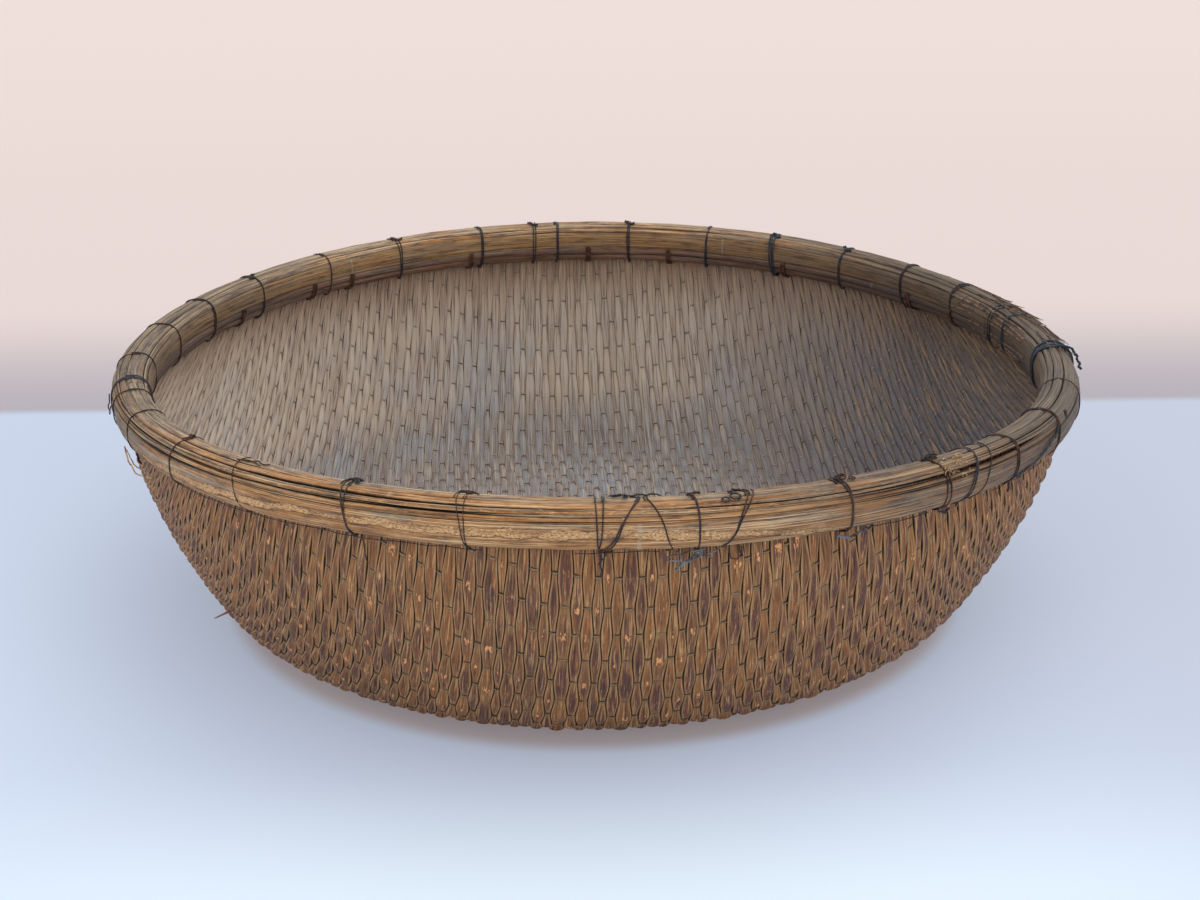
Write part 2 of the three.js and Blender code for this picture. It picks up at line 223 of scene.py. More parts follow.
def rim_surface(bearing, angle, offset):
    return rim_point(bearing, *outline(angle, offset))


# %% [markdown]
# ## Noise and grids
#
# No two rods of a real basket are alike. Blender's own noise textures could shift the points, but
# they are read one point at a time. This noise works on whole arrays, and the same seed always gives
# the same basket. Grids of points then become meshes in one step, without a loop over corners.

# %% Seeded noise for everything irregular
def hashed(seed, x, y):
    """A fixed random number from -1 to 1 for each whole x and y: the fraction of a large sine."""
    value = np.sin(x * 127.1 + y * 311.7 + seed * 74.7) * 43758.5453
    return 2 * (value - np.floor(value)) - 1


def noise(seed, x, y=0.0):
    """Smooth noise from -1 to 1: numbers on a unit grid, blended with 3u^2 - 2u^3 in each
    direction."""
    x, y = np.broadcast_arrays(np.asarray(x, float), np.asarray(y, float))
    left, low = np.floor(x), np.floor(y)
    u, v = x - left, y - low
    u, v = u * u * (3 - 2 * u), v * v * (3 - 2 * v)
    below = (1 - u) * hashed(seed, left, low) + u * hashed(seed, left + 1, low)
    above = (1 - u) * hashed(seed, left, low + 1) + u * hashed(seed, left + 1, low + 1)
    return (1 - v) * below + v * above


# %% Turn grids of points into pieces
def loft_faces(tubes, stations, corners):
    """Face arrays for closed tubes: squares between neighbouring rings, and one cap at each end.
    Corner (t, s, c) has the number (t * stations + s) * corners + c, and c wraps round."""
    number = np.arange(tubes * stations * corners).reshape(tubes, stations, corners)
    beside = np.roll(number, -1, axis=2)
    squares = np.stack([number[:, :-1], beside[:, :-1], beside[:, 1:], number[:, 1:]], -1)
    caps = np.concatenate([number[:, 0, ::-1], number[:, -1]])
    return squares.reshape(-1, 4), caps


def make_piece(name, points, faces, material, values=None, stands_for=()):
    """A mesh object from points in metres and face arrays. Each attribute has one number a point,
    or a grid of vectors, which has three axes or more."""
    mesh = bpy.data.meshes.new(name)
    points = points.reshape(-1, 3)
    corners = np.concatenate([group.ravel() for group in faces])
    sizes = np.concatenate([np.full(len(group), group.shape[1]) for group in faces])
    mesh.vertices.add(len(points))
    mesh.vertices.foreach_set("co", points.astype(np.float32).ravel())
    mesh.loops.add(len(corners))
    mesh.loops.foreach_set("vertex_index", corners.astype(np.int32))
    mesh.polygons.add(len(sizes))
    mesh.polygons.foreach_set("loop_start", (np.cumsum(sizes) - sizes).astype(np.int32))
    mesh.update(calc_edges=True)
    mesh.validate()
    mesh.shade_smooth()
    for attribute, value in (values or {}).items():
        vectors = np.ndim(value) >= 3
        kind, field, width = ("FLOAT_VECTOR", "vector", 3) if vectors else ("FLOAT", "value", 1)
        flat = np.asarray(value, np.float32).reshape(-1)
        if flat.size != len(points) * width:
            raise ValueError(f"{name}: {attribute} has {flat.size} numbers")
        mesh.attributes.new(attribute, kind, "POINT").data.foreach_set(field, flat)
    mesh.materials.append(material)
    piece = bpy.data.objects.new(name, mesh)
    bpy.context.scene.collection.objects.link(piece)
    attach(piece, "root")
    if stands_for:
        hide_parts(*stands_for)
    return piece


def spread(value, shape):
    """A value repeated over a grid of that shape, as one flat list."""
    return np.broadcast_to(value, shape).reshape(-1)


# %% [markdown]
# ## Materials as formulas
#
# A `Signal` is one output of a shader node. Arithmetic on signals adds Math nodes, so a material
# below reads like the formula that it is. Attributes made with the meshes carry what the material
# has to know: how near a point is to its rod's edge, where it is in its lens, and so on. Painted
# images could carry the colours instead, but they would be large for this many rods, and they
# wouldn't follow a rod when its size changes.

# %% A small wrapper for shader sockets
class Signal:
    def __init__(self, tree, output=None):
        self.tree = tree
        self.output = output

    def node(self, kind, settings=None, inputs=None, output=0):
        """Adds a node of any kind: its settings first, then values or signals for its inputs."""
        made = self.tree.nodes.new(kind)
        for name, value in (settings or {}).items():
            setattr(made, name, value)
        for key, value in (inputs or {}).items():
            if isinstance(value, Signal):
                self.tree.links.new(value.output, made.inputs[key])
            else:
                made.inputs[key].default_value = value
        return Signal(self.tree, made.outputs[output])

    def math(self, operation, *values):
        inputs = dict(enumerate((self, *values)))
        return self.node("ShaderNodeMath", {"operation": operation}, inputs)

    def __add__(self, other):
        return self.math("ADD", other)

    def __radd__(self, other):
        return self.math("ADD", other)

    def __sub__(self, other):
        return self.math("SUBTRACT", other)

    def __rsub__(self, other):
        return (self * -1.0) + other

    def __mul__(self, other):
        return self.math("MULTIPLY", other)

    def __rmul__(self, other):
        return self.math("MULTIPLY", other)

    def __truediv__(self, other):
        return self.math("DIVIDE", other)

    def __pow__(self, other):
        return self.math("POWER", other)

    def step(self, low, high):
        """0 below low, 1 above high and a smooth ramp between; high may be below low."""
        settings = {"interpolation_type": "SMOOTHSTEP"}
        inputs = {"Value": self, "From Min": low, "From Max": high}
        return self.node("ShaderNodeMapRange", settings, inputs)

    def mixed(self, first, second):
        """A colour between first and second, by this signal from 0 to 1."""
        inputs = {0: self, 6: first, 7: second}
        return self.node("ShaderNodeMix", {"data_type": "RGBA"}, inputs, output=2)


def colour(red, green, blue):
    """A linear colour from the 0 to 255 numbers of a picture: ((c + 0.055) / 1.055) ** 2.4."""
    parts = np.array([red, green, blue]) / 255
    linear = np.where(parts <= 0.04045, parts / 12.92, ((parts + 0.055) / 1.055) ** 2.4)
    return (*linear.tolist(), 1.0)


BLACK = colour(0, 0, 0)


def layered(shade, layers):
    """Lays plain tints, in the 0 to 255 numbers of a picture, over a shade, each by its mask."""
    for mask, tint in layers:
        shade = mask.mixed(shade, colour(*tint))
    return shade


class Finish:
    """A material under construction: its tree, its shader and short ways to read inputs."""

    def __init__(self, name, roughness, metallic=0.0, specular=0.35):
        self.material = bpy.data.materials.new(name)
        self.material.use_nodes = True
        self.tree = self.material.node_tree
        self.shader = self.tree.nodes["Principled BSDF"]
        self.shader.inputs["Roughness"].default_value = roughness
        self.shader.inputs["Metallic"].default_value = metallic
        self.shader.inputs["Specular IOR Level"].default_value = specular
        self.start = Signal(self.tree)

    def value(self, attribute):
        return self.start.node("ShaderNodeAttribute", {"attribute_name": attribute}, output=2)

    def vector(self, attribute):
        return self.start.node("ShaderNodeAttribute", {"attribute_name": attribute}, output=1)

    def place(self):
        return self.start.node("ShaderNodeTexCoord", output=3)

    def axis(self, number):
        """One object coordinate in metres: 0 is across, 1 is depth and 2 is up."""
        return self.start.node("ShaderNodeSeparateXYZ", {}, {0: self.place()}, output=number)

    def noise(self, vector, scale, detail=3.0, roughness=0.6):
        inputs = {"Vector": vector, "Scale": scale, "Detail": detail, "Roughness": roughness}
        return self.start.node("ShaderNodeTexNoise", {}, inputs)

    def fibrous(self, across, along, detail, roughness):
        """Noise that is long along the piece's grain. Its two scales are per millimetre."""
        inputs = {"Vector": self.vector("grain"), "Scale": (across, along, 1.0)}
        stretched = self.start.node("ShaderNodeMapping", {}, inputs)
        return self.noise(stretched, 1.0, detail, roughness)

    def random(self, value):
        return self.start.node("ShaderNodeTexWhiteNoise", {"noise_dimensions": "1D"}, {"W": value})

    def feed(self, socket, signal):
        self.tree.links.new(signal.output, self.shader.inputs[socket])

    def bump(self, height, distance, strength=1.0):
        inputs = {"Strength": strength, "Distance": distance, "Height": height}
        self.feed("Normal", self.start.node("ShaderNodeBump", {}, inputs))


# %% [markdown]
# ### Willow
#
# A rod's bark is tan along its edges and purplish brown along its crown, with fine fibres, and a painted
# highlight runs just inside each edge. Where a lens stands proud it has been rubbed to a pale orange
# spot. The creases between rods are painted nearly black as shade, and the ends of the lenses a little
# darker. Inside, years of dust have turned the rods grey and in places bluish, and painted shade darkens
# them towards the right. Three materials could be given to edge, crown and inside, but their borders
# would be hard. One material that fades by attributes lets every lens wear in its own way.

# %% Where a point is in its lens
def lens_places(finish):
    """How far a point is from its lens's middle, 0 to 1/2, and two random numbers for the lens."""
    lens, rod = finish.value("lens"), finish.value("tone")
    number = lens.math("FLOOR")
    from_middle = (lens - number - 0.5).math("ABSOLUTE")
    chance = finish.random(number * 7.31 + rod * 91.7)
    luck = finish.random(number * 3.17 + rod * 57.9 + 4.0)
    return from_middle, chance, luck


# %% The bark, on the outside, with painted highlights and painted shade
FLANK, PALE_CROWN, DARK_CROWN = (166, 118, 74), (142, 92, 52), (100, 62, 50)
DULL_ROD, WARM_LENS = (112, 80, 60), (160, 112, 66)
ORANGE_RIBBON, DARK_RIBBON = (190, 112, 50), (66, 42, 36)
PALE_FIBRE, DARK_FIBRE = (216, 170, 118), (54, 33, 24)
PAINTED_EDGE_HIGHLIGHT, WORN_RING, WORN_SPOT = (196, 156, 114), (78, 48, 34), (240, 168, 108)
PAINTED_CREASE_SHADE, PAINTED_LENS_TIP_SHADE = (24, 17, 14), (48, 36, 30)


def bark_and_painted_light(finish, from_middle, chance, luck, fibres):
    """Brown crowns between tan flanks, then ribbons and fibres, a painted highlight along the edges, a
    worn spot on the crown of some lenses, and painted shade in the crease. `edge` is the distance to the
    rod's edge."""
    edge, rod = finish.value("edge"), finish.value("tone")
    ribbons, blobs = finish.fibrous(0.55, 0.05, 2.0, 0.5), finish.fibrous(0.8, 0.2, 3.0, 0.65)
    body = edge.step(0.6, 1.2)
    crown = edge.step(0.6, 1.9) * (from_middle.step(0.5, 0.25) * 0.7 + 0.3)
    worn = edge.step(1.7, 2.7) * from_middle.step(0.13, 0.04) * luck.step(0.5, 0.65)
    spots = blobs + worn * 0.16
    shade = chance.step(0.15, 0.7).mixed(colour(*PALE_CROWN), colour(*DARK_CROWN))
    shade = crown.mixed(colour(*FLANK), shade)
    return layered(shade, (
        (rod.step(0.6, 0.95) * 0.45, DULL_ROD),
        (luck.step(0.5, 1.0) * 0.4, WARM_LENS),
        (ribbons.step(0.59, 0.67) * body * 0.6, ORANGE_RIBBON),
        (ribbons.step(0.4, 0.32) * body * 0.65, DARK_RIBBON),
        (fibres.step(0.53, 0.63) * 0.8, PALE_FIBRE),
        (fibres.step(0.47, 0.37) * 0.85, DARK_FIBRE),
        # Painted highlight: a lighter band just inside each rod's edge.
        (edge.step(0.35, 0.6) * edge.step(1.2, 0.8) * 0.5, PAINTED_EDGE_HIGHLIGHT),
        (worn * spots.step(0.56, 0.62) * 0.6, WORN_RING),
        (spots.step(0.63, 0.7) * worn, WORN_SPOT),
        # Painted shade: the creases between rods are darkened nearly to black.
        (edge.step(0.45, 0.12), PAINTED_CREASE_SHADE),
    ))


# %% The dust, on the inside, with painted shade and highlights
FLOOR_DUST, WALL_DUST, COLLAR_BROWN = (130, 131, 134), (200, 184, 168), (160, 126, 100)
LENS_TOP, DUSTY_ROD, BLUE_PATCH = (184, 186, 188), (150, 122, 104), (150, 162, 176)
PALE_STREAK, DARK_STREAK = (202, 180, 152), (108, 86, 74)
SHADED_SIDE, PAINTED_FAR_SIDE_SHADE, BLUE_SHADE = (138, 118, 106), (62, 46, 36), (76, 92, 114)
TAN_STREAK, GOLDEN_STREAK, SPECK = (172, 144, 108), (176, 128, 72), (206, 200, 190)
PAINTED_LIT_EDGE_HIGHLIGHT, PAINTED_INNER_CREASE_SHADE = (200, 178, 158), (126, 104, 90)


def dust_and_painted_light(finish, from_middle, specks):
    """Grey on the floor and paler up the wall, bluish in patches, with streaks along the rods. Painted
    shade makes it darker and browner towards the right and a little darker in the creases, and a painted
    highlight lightens the rods' edges away from the right."""
    edge, rod = finish.value("edge"), finish.value("tone")
    across, height = finish.axis(0), finish.axis(2)
    streaks = finish.fibrous(0.8, 0.018, 3.0, 0.6)
    patches = finish.noise(finish.place(), 9.0, 3.0, 0.6)
    low = height.step(0.15, 0.08)
    lens_top = from_middle.step(0.36, 0.12) * edge.step(0.6, 2.0)
    shaded = across.step(0.06, 0.22)
    shade = height.step(0.01, 0.06).mixed(colour(*FLOOR_DUST), colour(*WALL_DUST))
    return layered(shade, (
        (lens_top * low * 0.18, LENS_TOP),
        (height.step(0.105, 0.165), COLLAR_BROWN),
        (rod * 0.4, DUSTY_ROD),
        (patches.step(0.45, 0.65) * height.step(0.13, 0.06) * 0.5, BLUE_PATCH),
        (streaks.step(0.53, 0.64) * 0.7, PALE_STREAK),
        (streaks.step(0.48, 0.37) * 0.75, DARK_STREAK),
        # Painted shade towards the right: darker and browner, and bluish low down.
        (shaded * 0.62, SHADED_SIDE),
        (across.step(0.18, 0.28) * 0.62, PAINTED_FAR_SIDE_SHADE),
        (shaded * low * 0.4, BLUE_SHADE),
        (shaded * streaks.step(0.54, 0.62) * 0.5, TAN_STREAK),
        (across.step(0.17, 0.26) * streaks.step(0.55, 0.62) * 0.45, GOLDEN_STREAK),
        (specks.step(0.55, 0.68) * 0.4, SPECK),
        # Painted highlight on the rods' edges away from the shaded right side.
        (edge.step(1.3, 0.2) * shaded.step(1.0, 0.3) * 0.5, PAINTED_LIT_EDGE_HIGHLIGHT),
        # Painted shade, light, in the creases between rods.
        (edge.step(0.25, 0.05) * 0.3, PAINTED_INNER_CREASE_SHADE),
    ))


# %% The willow finish
def willow_finish():
    """Bark outside and dust inside, with painted shade at the ends of the outer lenses; `side` is 1 on a
    rod's outer half.
    """
    finish = Finish("willow", roughness=0.7)
    side = finish.value("side")
    fibres, specks = finish.fibrous(1.0, 0.04, 5.0, 0.75), finish.fibrous(1.4, 0.4, 4.0, 0.75)
    from_middle, chance, luck = lens_places(finish)
    inside = dust_and_painted_light(finish, from_middle, specks)
    outside = bark_and_painted_light(finish, from_middle, chance, luck, fibres)
    shade = side.step(0.4, 0.6).mixed(inside, outside)
    # Painted shade where each outer lens ends and dips under its neighbours.
    shade = layered(shade, [(from_middle.step(0.45, 0.5) * side * 0.3, PAINTED_LENS_TIP_SHADE)])
    finish.feed("Base Color", shade)
    finish.feed("Roughness", fibres * 0.25 + 0.52)
    finish.bump(fibres * 0.7 + specks * 0.3, 0.0006, 0.9)
    return finish.material


WILLOW = willow_finish()

# %% [markdown]
# ## Willow rods
#
# Twine row k passes over the rods whose number has one parity and under the others, so each rod
# swings out and in once every two rows. Where it swings out it covers its neighbours' edges, and the
# part that shows is a long lens. On the map that is `height = swing * cos(pi * (row + rod))`. Rods
# differ in thickness, so the borders between them are shifted at random and drift a little.
#
# A woven cell could be modelled once and repeated by an array modifier. Here each rod is one closed
# tube from end to end, as the real one is, so that it can thin out, wander and wear by itself.

# %% Where the borders between rods lie
BORDER_SHIFT, BORDER_DRIFT = 0.2, 0.06
random = np.random.default_rng(7)
border_shift = random.uniform(-BORDER_SHIFT, BORDER_SHIFT, ROD_COUNT + 1)
border_shift[[0, -1]] = 0


def border(index, row):
    """The border before a rod, in rod widths from the panel's left end, at a twine row."""
    drift = BORDER_DRIFT * noise(3, index * 5.37, row * 0.23)
    return index + border_shift[index] + drift


first_rods = np.concatenate([[0], np.cumsum(RODS_IN_BAND)])
band_shares = np.linspace(-1, 1, BAND_COUNT + 1)


def rod_share(border_place):
    """From rod widths to the map's -1 to 1 across the panel: even steps within each band."""
    return np.interp(border_place, first_rods, band_shares)


# %% Build the rods, one piece for each band
ROD_STATIONS = 212
ROD_SWING, SIDE_SWING, SIDE_LOOSENESS = 1.05, 0.45, 0.16
ROD_HALF_THICKNESS, ROD_LUMPS = 2.05, 0.14
OUTER_SQUARENESS, INNER_SQUARENESS = 0.85, 0.6
LENS_SWELL, LENS_FLANK = 0.11, 0.95
OVERLAP = 1.02
ROW_WAVER = 0.05
BAND_WIDTH = 65
rod_angles = np.array([0, 28, 60, 90, 120, 152, 180, 205, 240, 270, 300, 335]) * DEGREE


def swing_at(share, middle, side):
    """How far a row swings the rods, in millimetres: less towards the sides, by the share squared."""
    return middle + (side - middle) * np.clip(share, -1, 1) ** 2


def row_waver(share, row):
    """The small wander of a twine row, in row numbers, which rods and twine have in common."""
    return ROW_WAVER * noise(5, share * 9, row * 0.6)


def rod_grid(numbers, pitch):
    """Points and attributes of whole rods. A section is a flattened ellipse whose half width swells
    where the rod swings out or in: cos(angle) * (half + swell * lens^2), where `lens` is a wave
    with straight flanks and flat tops. Towards the sides the wave comes a little early or late."""
    number = numbers[:, None, None]
    middle_share = rod_share(number + 0.5)
    row = np.linspace(-1, 1, ROD_STATIONS)[None, :, None] * last_row(middle_share)
    loose = SIDE_LOOSENESS * middle_share**2 * noise(12, number * 2.3, row * 0.5)
    phase = np.cos(np.pi * (row + number + loose))
    lens = np.clip(LENS_FLANK * np.arcsin(phase), -1, 1)
    left, right = border(number, row), border(number + 1, row)
    half = (right - left) / 2
    beside = np.cos(rod_angles) * (half * OVERLAP + LENS_SWELL * lens**2)
    squareness = np.where(np.sin(rod_angles) > 0, OUTER_SQUARENESS, INNER_SQUARENESS)
    rise = np.sign(np.sin(rod_angles)) * np.abs(np.sin(rod_angles)) ** squareness
    thickness = ROD_HALF_THICKNESS * (half / 0.5) ** 0.5
    lumps = ROD_LUMPS * noise(11, row * 1.7, number * 3.1)
    height = swing_at(middle_share, ROD_SWING, SIDE_SWING) * phase + thickness * rise + lumps
    share = rod_share((left + right) / 2 + beside)
    points = panel_point(share, row + row_waver(share, row), height)
    outer = np.sin(rod_angles) > -1e-6
    shown_half = half + np.where(outer, 1, -1) * LENS_SWELL * lens
    along = np.sign(row) * np.interp(np.abs(row), row_numbers, row_lengths)
    shape = points.shape[:3]
    tone = random.uniform(0, 1, (len(numbers), 1, 1))
    grain = np.stack(np.broadcast_arrays(beside * pitch + number * 13.7, along, outer * 40.0), -1)
    return points, {
        "edge": spread((shown_half - np.abs(beside)) * pitch, shape),
        "lens": spread((row + number + np.where(outer, 1, 2)) / 2, shape),
        "side": spread(outer.astype(float), shape),
        "tone": spread(tone, shape),
        "grain": grain,
    }


for band, count in enumerate(RODS_IN_BAND):
    points, values = rod_grid(np.arange(first_rods[band], first_rods[band + 1]), BAND_WIDTH / count)
    faces = loft_faces(count, ROD_STATIONS, len(rod_angles))
    node = f"willow_rods_{band + 1:02d}"
    make_piece(f"{node}_woven", points, faces, WILLOW, values, [node])
print("rods:", ROD_COUNT, "corners a band:", points.size // 3)


# %% [markdown]
# ## Twine
#
# The twine is thin, two-stranded and light brown; painted shade darkens its flanks and the groove between
# its strands. It is out of sight under each lens and shows as a fine line across the narrow places
# between two lenses. A row swings against the rods: `height = -swing * cos(pi * (row + rod))`. Dark lines
# in the rods' material could stand for it, but real rows catch light and throw a shadow, so each row is a
# thin tube with a twisted groove of painted shade and bumps.

# %% The twine finish
TWINE_DARK, TWINE_LIGHT = (128, 102, 76), (184, 156, 124)
TWINE_GROOVE_SHADE, TWINE_SIDE_SHADE = (56, 42, 32), (38, 28, 22)
TWINE_DUSTY, TWINE_DUSTY_SIDE_SHADE = (172, 158, 146), (128, 112, 100)


def twine_finish():
    """Two strands: a groove of painted shade, also bumped, is where the sine of 2.1 * along + around
    passes zero. The tube's flanks carry painted shade as well.
    """
    finish = Finish("twine", roughness=0.85)
    along, around = finish.value("along"), finish.value("around")
    groove = (along * 2.1 + around).math("SINE").math("ABSOLUTE").step(0.45, 0.05)
    dirt = finish.noise(finish.place(), 160.0, 2.0)
    facing = around.math("SINE")
    # `rim` is 1 on the tube's flanks, which get painted shade.
    rim = facing.math("ABSOLUTE").step(0.9, 0.5)
    shade = dirt.mixed(colour(*TWINE_DARK), colour(*TWINE_LIGHT))
    # Painted shade in the groove between the strands and on the tube's flanks.
    shade = layered(shade, ((groove * 0.5, TWINE_GROOVE_SHADE), (rim * 0.75, TWINE_SIDE_SHADE)))
    # Inside, the flanks get a lighter painted shade.
    dusty = (rim * 0.15).mixed(colour(*TWINE_DUSTY), colour(*TWINE_DUSTY_SIDE_SHADE))
    finish.feed("Base Color", facing.step(0.0, -0.1).mixed(shade, dusty))
    finish.bump(groove * -1.0 + dirt * 0.4, 0.0003)
    return finish.material


TWINE = twine_finish()

# %% Lay the rows
TWINE_SWING, TWINE_SIDE_SWING = 1.4, 1.0
TWINE_HALF_WIDTH, TWINE_HALF_HEIGHT = 0.9, 0.42
ROWS_SHORT_OF_TIP, SHORT_OF_RIM = 0.3, 0.995
TWINE_SCALE = 6.5
TWINE_SIDES = 5
TWINE_STATIONS = 4 * ROD_COUNT + 1
every_row = np.arange(-int(row_numbers[-1]), int(row_numbers[-1]) + 1)
rod_scale = np.linspace(0, 1, 400)


def twine_rows(rows):
    """Closed flattened tubes along the rows, each as wide as the panel is there."""
    row = rows[:, None, None]
    reach = np.interp(-np.abs(row) - ROWS_SHORT_OF_TIP, -last_row(rod_scale), rod_scale)
    share = np.linspace(-1, 1, TWINE_STATIONS)[None, :, None] * reach * SHORT_OF_RIM
    rod_place = np.interp(share, band_shares, first_rods)
    turn = np.arange(TWINE_SIDES) * 2 * np.pi / TWINE_SIDES
    local = np.interp(np.abs(row), row_numbers[:-1], 1 / np.diff(row_numbers))
    row_size = local * (row_lengths[1] - row_lengths[0])
    beside = -np.cos(turn) * TWINE_HALF_WIDTH / row_size
    swing = swing_at(share, TWINE_SWING, TWINE_SIDE_SWING) * np.cos(np.pi * (row + rod_place - 0.5))
    row_there = row + row_waver(share, row) + beside
    points = panel_point(share, row_there, np.sin(turn) * TWINE_HALF_HEIGHT - swing)
    shape = points.shape[:3]
    along = rod_place * TWINE_SCALE
    return points, {"along": spread(along, shape), "around": spread(turn, shape)}


for part, rows in zip(("back", "middle", "front"), np.array_split(every_row[::-1], 3)):
    points, values = twine_rows(rows)
    faces = loft_faces(len(rows), TWINE_STATIONS, TWINE_SIDES)
    make_piece(f"twine_rows_{part}", points, faces, TWINE, values)
print("twine rows:", len(every_row))

# %% [markdown]
# ## Rim slats
#
# The maker laid a bundle of split slats round the wall's edge. Every slat runs nearly all the way
# round, so it is a long strip on the bundle's outline between two wandering borders. Neighbours
# share a border, and two borders on the crown have dried open into splits. The outer face is crowned,
# with fine ribs along the grain, and now and then a growth ring. The widest slat, lowest on the
# outside, has a long torn band where its skin has split and lifted.
#
# One ring with grooves would be simpler. Separate strips are chosen because the dark lines between slats
# are real gaps that open and close, deepened by painted shade along the slats' edges, and because each
# slat is a different piece of wood.

# %% The slat finish
STAIN, GRAIN_LINE, PALE_FLECK, DARK_FLECK = (86, 58, 52), (74, 48, 32), (232, 176, 120), (112, 74, 46)
RING_PALE, SLAT_EDGE_SHADE, BELOW_TEAR = (190, 178, 160), (32, 23, 18), (84, 52, 32)
TORN_ORANGE, TORN_PALE = (178, 110, 58), (254, 210, 154)
TORN_STAIN, TORN_FLAKE, TORN_LIP_SHADOW = (140, 88, 52), (110, 64, 36), (74, 46, 32)
SIDE_GREY = (60, 52, 50)


def slat_finish(name, brown, grey, light):
    """Brown and weathered grey in broad streaks, with fine lines and flecks along the grain. The
    attributes say where the skin is torn, where a growth ring is and where the slat ends. Painted shade
    darkens the slat's edges and its nail hole, and a painted shadow lines the torn band's borders."""
    finish = Finish(name, roughness=0.6)
    parts = ("edge", "tear", "tone", "fleck", "ring", "below")
    edge, tear, tone, fleck, ring, below = (finish.value(part) for part in parts)
    lines, broad = finish.fibrous(1.1, 0.008, 5.0, 0.75), finish.fibrous(0.42, 0.012, 3.0, 0.6)
    short, flakes = finish.fibrous(0.85, 0.2, 5.0, 0.75), finish.fibrous(1.5, 0.55, 5.0, 0.85)
    stains = finish.fibrous(0.3, 0.045, 4.0, 0.7)
    greyness = (tone + (broad - 0.5) * 2.4 + (stains - 0.5) * 1.2).step(0.1, 0.9)
    skin = layered(greyness.mixed(colour(*brown), colour(*grey)), (
        (stains.step(0.5, 0.6) * 0.65, STAIN),
        (stains.step(0.44, 0.34) * 0.4, light),
        (lines.step(0.52, 0.6) * 0.85, light),
        (lines.step(0.46, 0.38) * 0.85, GRAIN_LINE),
        (short.step(0.54, 0.62) * fleck, PALE_FLECK),
        (short.step(0.44, 0.36) * fleck * 0.7, DARK_FLECK),
        (ring.step(1.3, 0.3) * 0.45, RING_PALE),
    ))
    torn = layered(flakes.step(0.41, 0.56).mixed(colour(*TORN_ORANGE), colour(*TORN_PALE)), (
        (stains.step(0.48, 0.62) * 0.55, TORN_STAIN),
        (flakes.step(0.44, 0.36) * 0.8, TORN_FLAKE),
    ))
    across = finish.axis(0)
    shade = layered(tear.mixed(skin, torn), (
        # Painted shadow along the torn band's borders, under the lifted skin.
        (tear.step(0.02, 0.2) * tear.step(0.75, 0.3) * 0.7, TORN_LIP_SHADOW),
        # Painted shade along the slats' edges, in the gaps between them, and in the nail hole.
        (edge.step(0.32, 0.05) * 0.9, SLAT_EDGE_SHADE),
        (below * 0.55, BELOW_TEAR),
        (across.step(-0.2, -0.33) * 0.5 + across.step(0.0, 0.3) * 0.72, SIDE_GREY),
    ))
    finish.feed("Base Color", shade)
    finish.feed("Roughness", short * 0.2 + 0.48)
    finish.bump(lines * 0.8 + short * (tear * 1.2 + fleck * 0.5 + 0.2), 0.0008, 1.0)
    return finish.material


SLAT = slat_finish("rim_slats", (180, 124, 70), (150, 132, 110), (236, 204, 160))
BROAD = slat_finish("bamboo", (156, 114, 68), (146, 122, 94), (188, 160, 122))
INNER = slat_finish("inner_rods", (128, 92, 72), (112, 96, 86), (166, 136, 114))

# %% [markdown]
# The borders below are given as angles on the bundle's outline, from the lowest outside edge over
# the top to the lowest inside edge. They are turned into a length along the outline, so that a
# slat's width, its ribs and its torn band can be given in millimetres.

# %% Borders and the splits on the crown
OUTLINE_BORDERS = np.array(
    [-70, 16, 19, 33, 38, 49.4, 60, 84.8, 105, 127, 150, 190, 212, 250]
)
BORDER_WANDER = np.array([0, 0.3, 0.2, 0.5, 0.5, 0.7, 0.5, 0.7, 0.9, 0.8, 0.4, 0.4, 0.6, 0])
NARROW_GAP, WIDE_GAP = 0.06, 0.45
PEELED_BORDER, PEELED_BEARING = 1, -164
SPLITS = {
    6: (
        (-170, -152, -143, -126, -119, -112, -107, -101, -98, -92.5, -90, 0, 40, 60, 90, 140, 180),
        (0.3, 0.2, 0.7, 1.2, 1.0, 1.1, 1.3, 0.7, 0.9, 0.8, 0, 0, 0.9, 0.2, 0, 1.2, 0.4),
    ),
    4: ((-180, -68, -61, -52, -41, -35, 180), (0, 0, 0.9, 1.3, 1.4, 0, 0)),
}
outline_angles = np.linspace(-89, 269, 1433)
outline_steps = np.hypot(*np.diff(outline(outline_angles * DEGREE), axis=1))
outline_lengths = np.concatenate([[0], np.cumsum(outline_steps)])


def half_turn(bearing):
    """The bearing in degrees, brought between -180 and 180."""
    return (bearing / DEGREE + 180) % 360 - 180


def round_noise(seed, bearing, pace):
    """Noise round the rim that meets itself after a full turn: it is read along a circle."""
    return noise(seed, pace * np.cos(bearing), pace * np.sin(bearing))


def opening(index, bearing):
    """How far a border has dried open, 0 to 1: slow noise round the rim, cut off at both ends."""
    return np.clip(0.3 + 1.3 * round_noise(140 + index, bearing, 3.3), 0, 1)


def slat_border(index, bearing, side):
    """A border's length along the outline, on one side of its gap, at a bearing."""
    wander = 0.75 * round_noise(20 + index, bearing, 4) + 0.3 * round_noise(220 + index, bearing, 19)
    gap = NARROW_GAP + (WIDE_GAP - NARROW_GAP) * opening(index, bearing)
    if index == PEELED_BORDER:
        gap = gap + 2.6 * np.exp(-(((half_turn(bearing) - PEELED_BEARING) / 5) ** 2))
    if index in SPLITS:
        gap = gap + np.interp(half_turn(bearing), *SPLITS[index])
    middle = np.interp(OUTLINE_BORDERS[index], outline_angles, outline_lengths)
    return middle + BORDER_WANDER[index] * wander + side * gap / 2


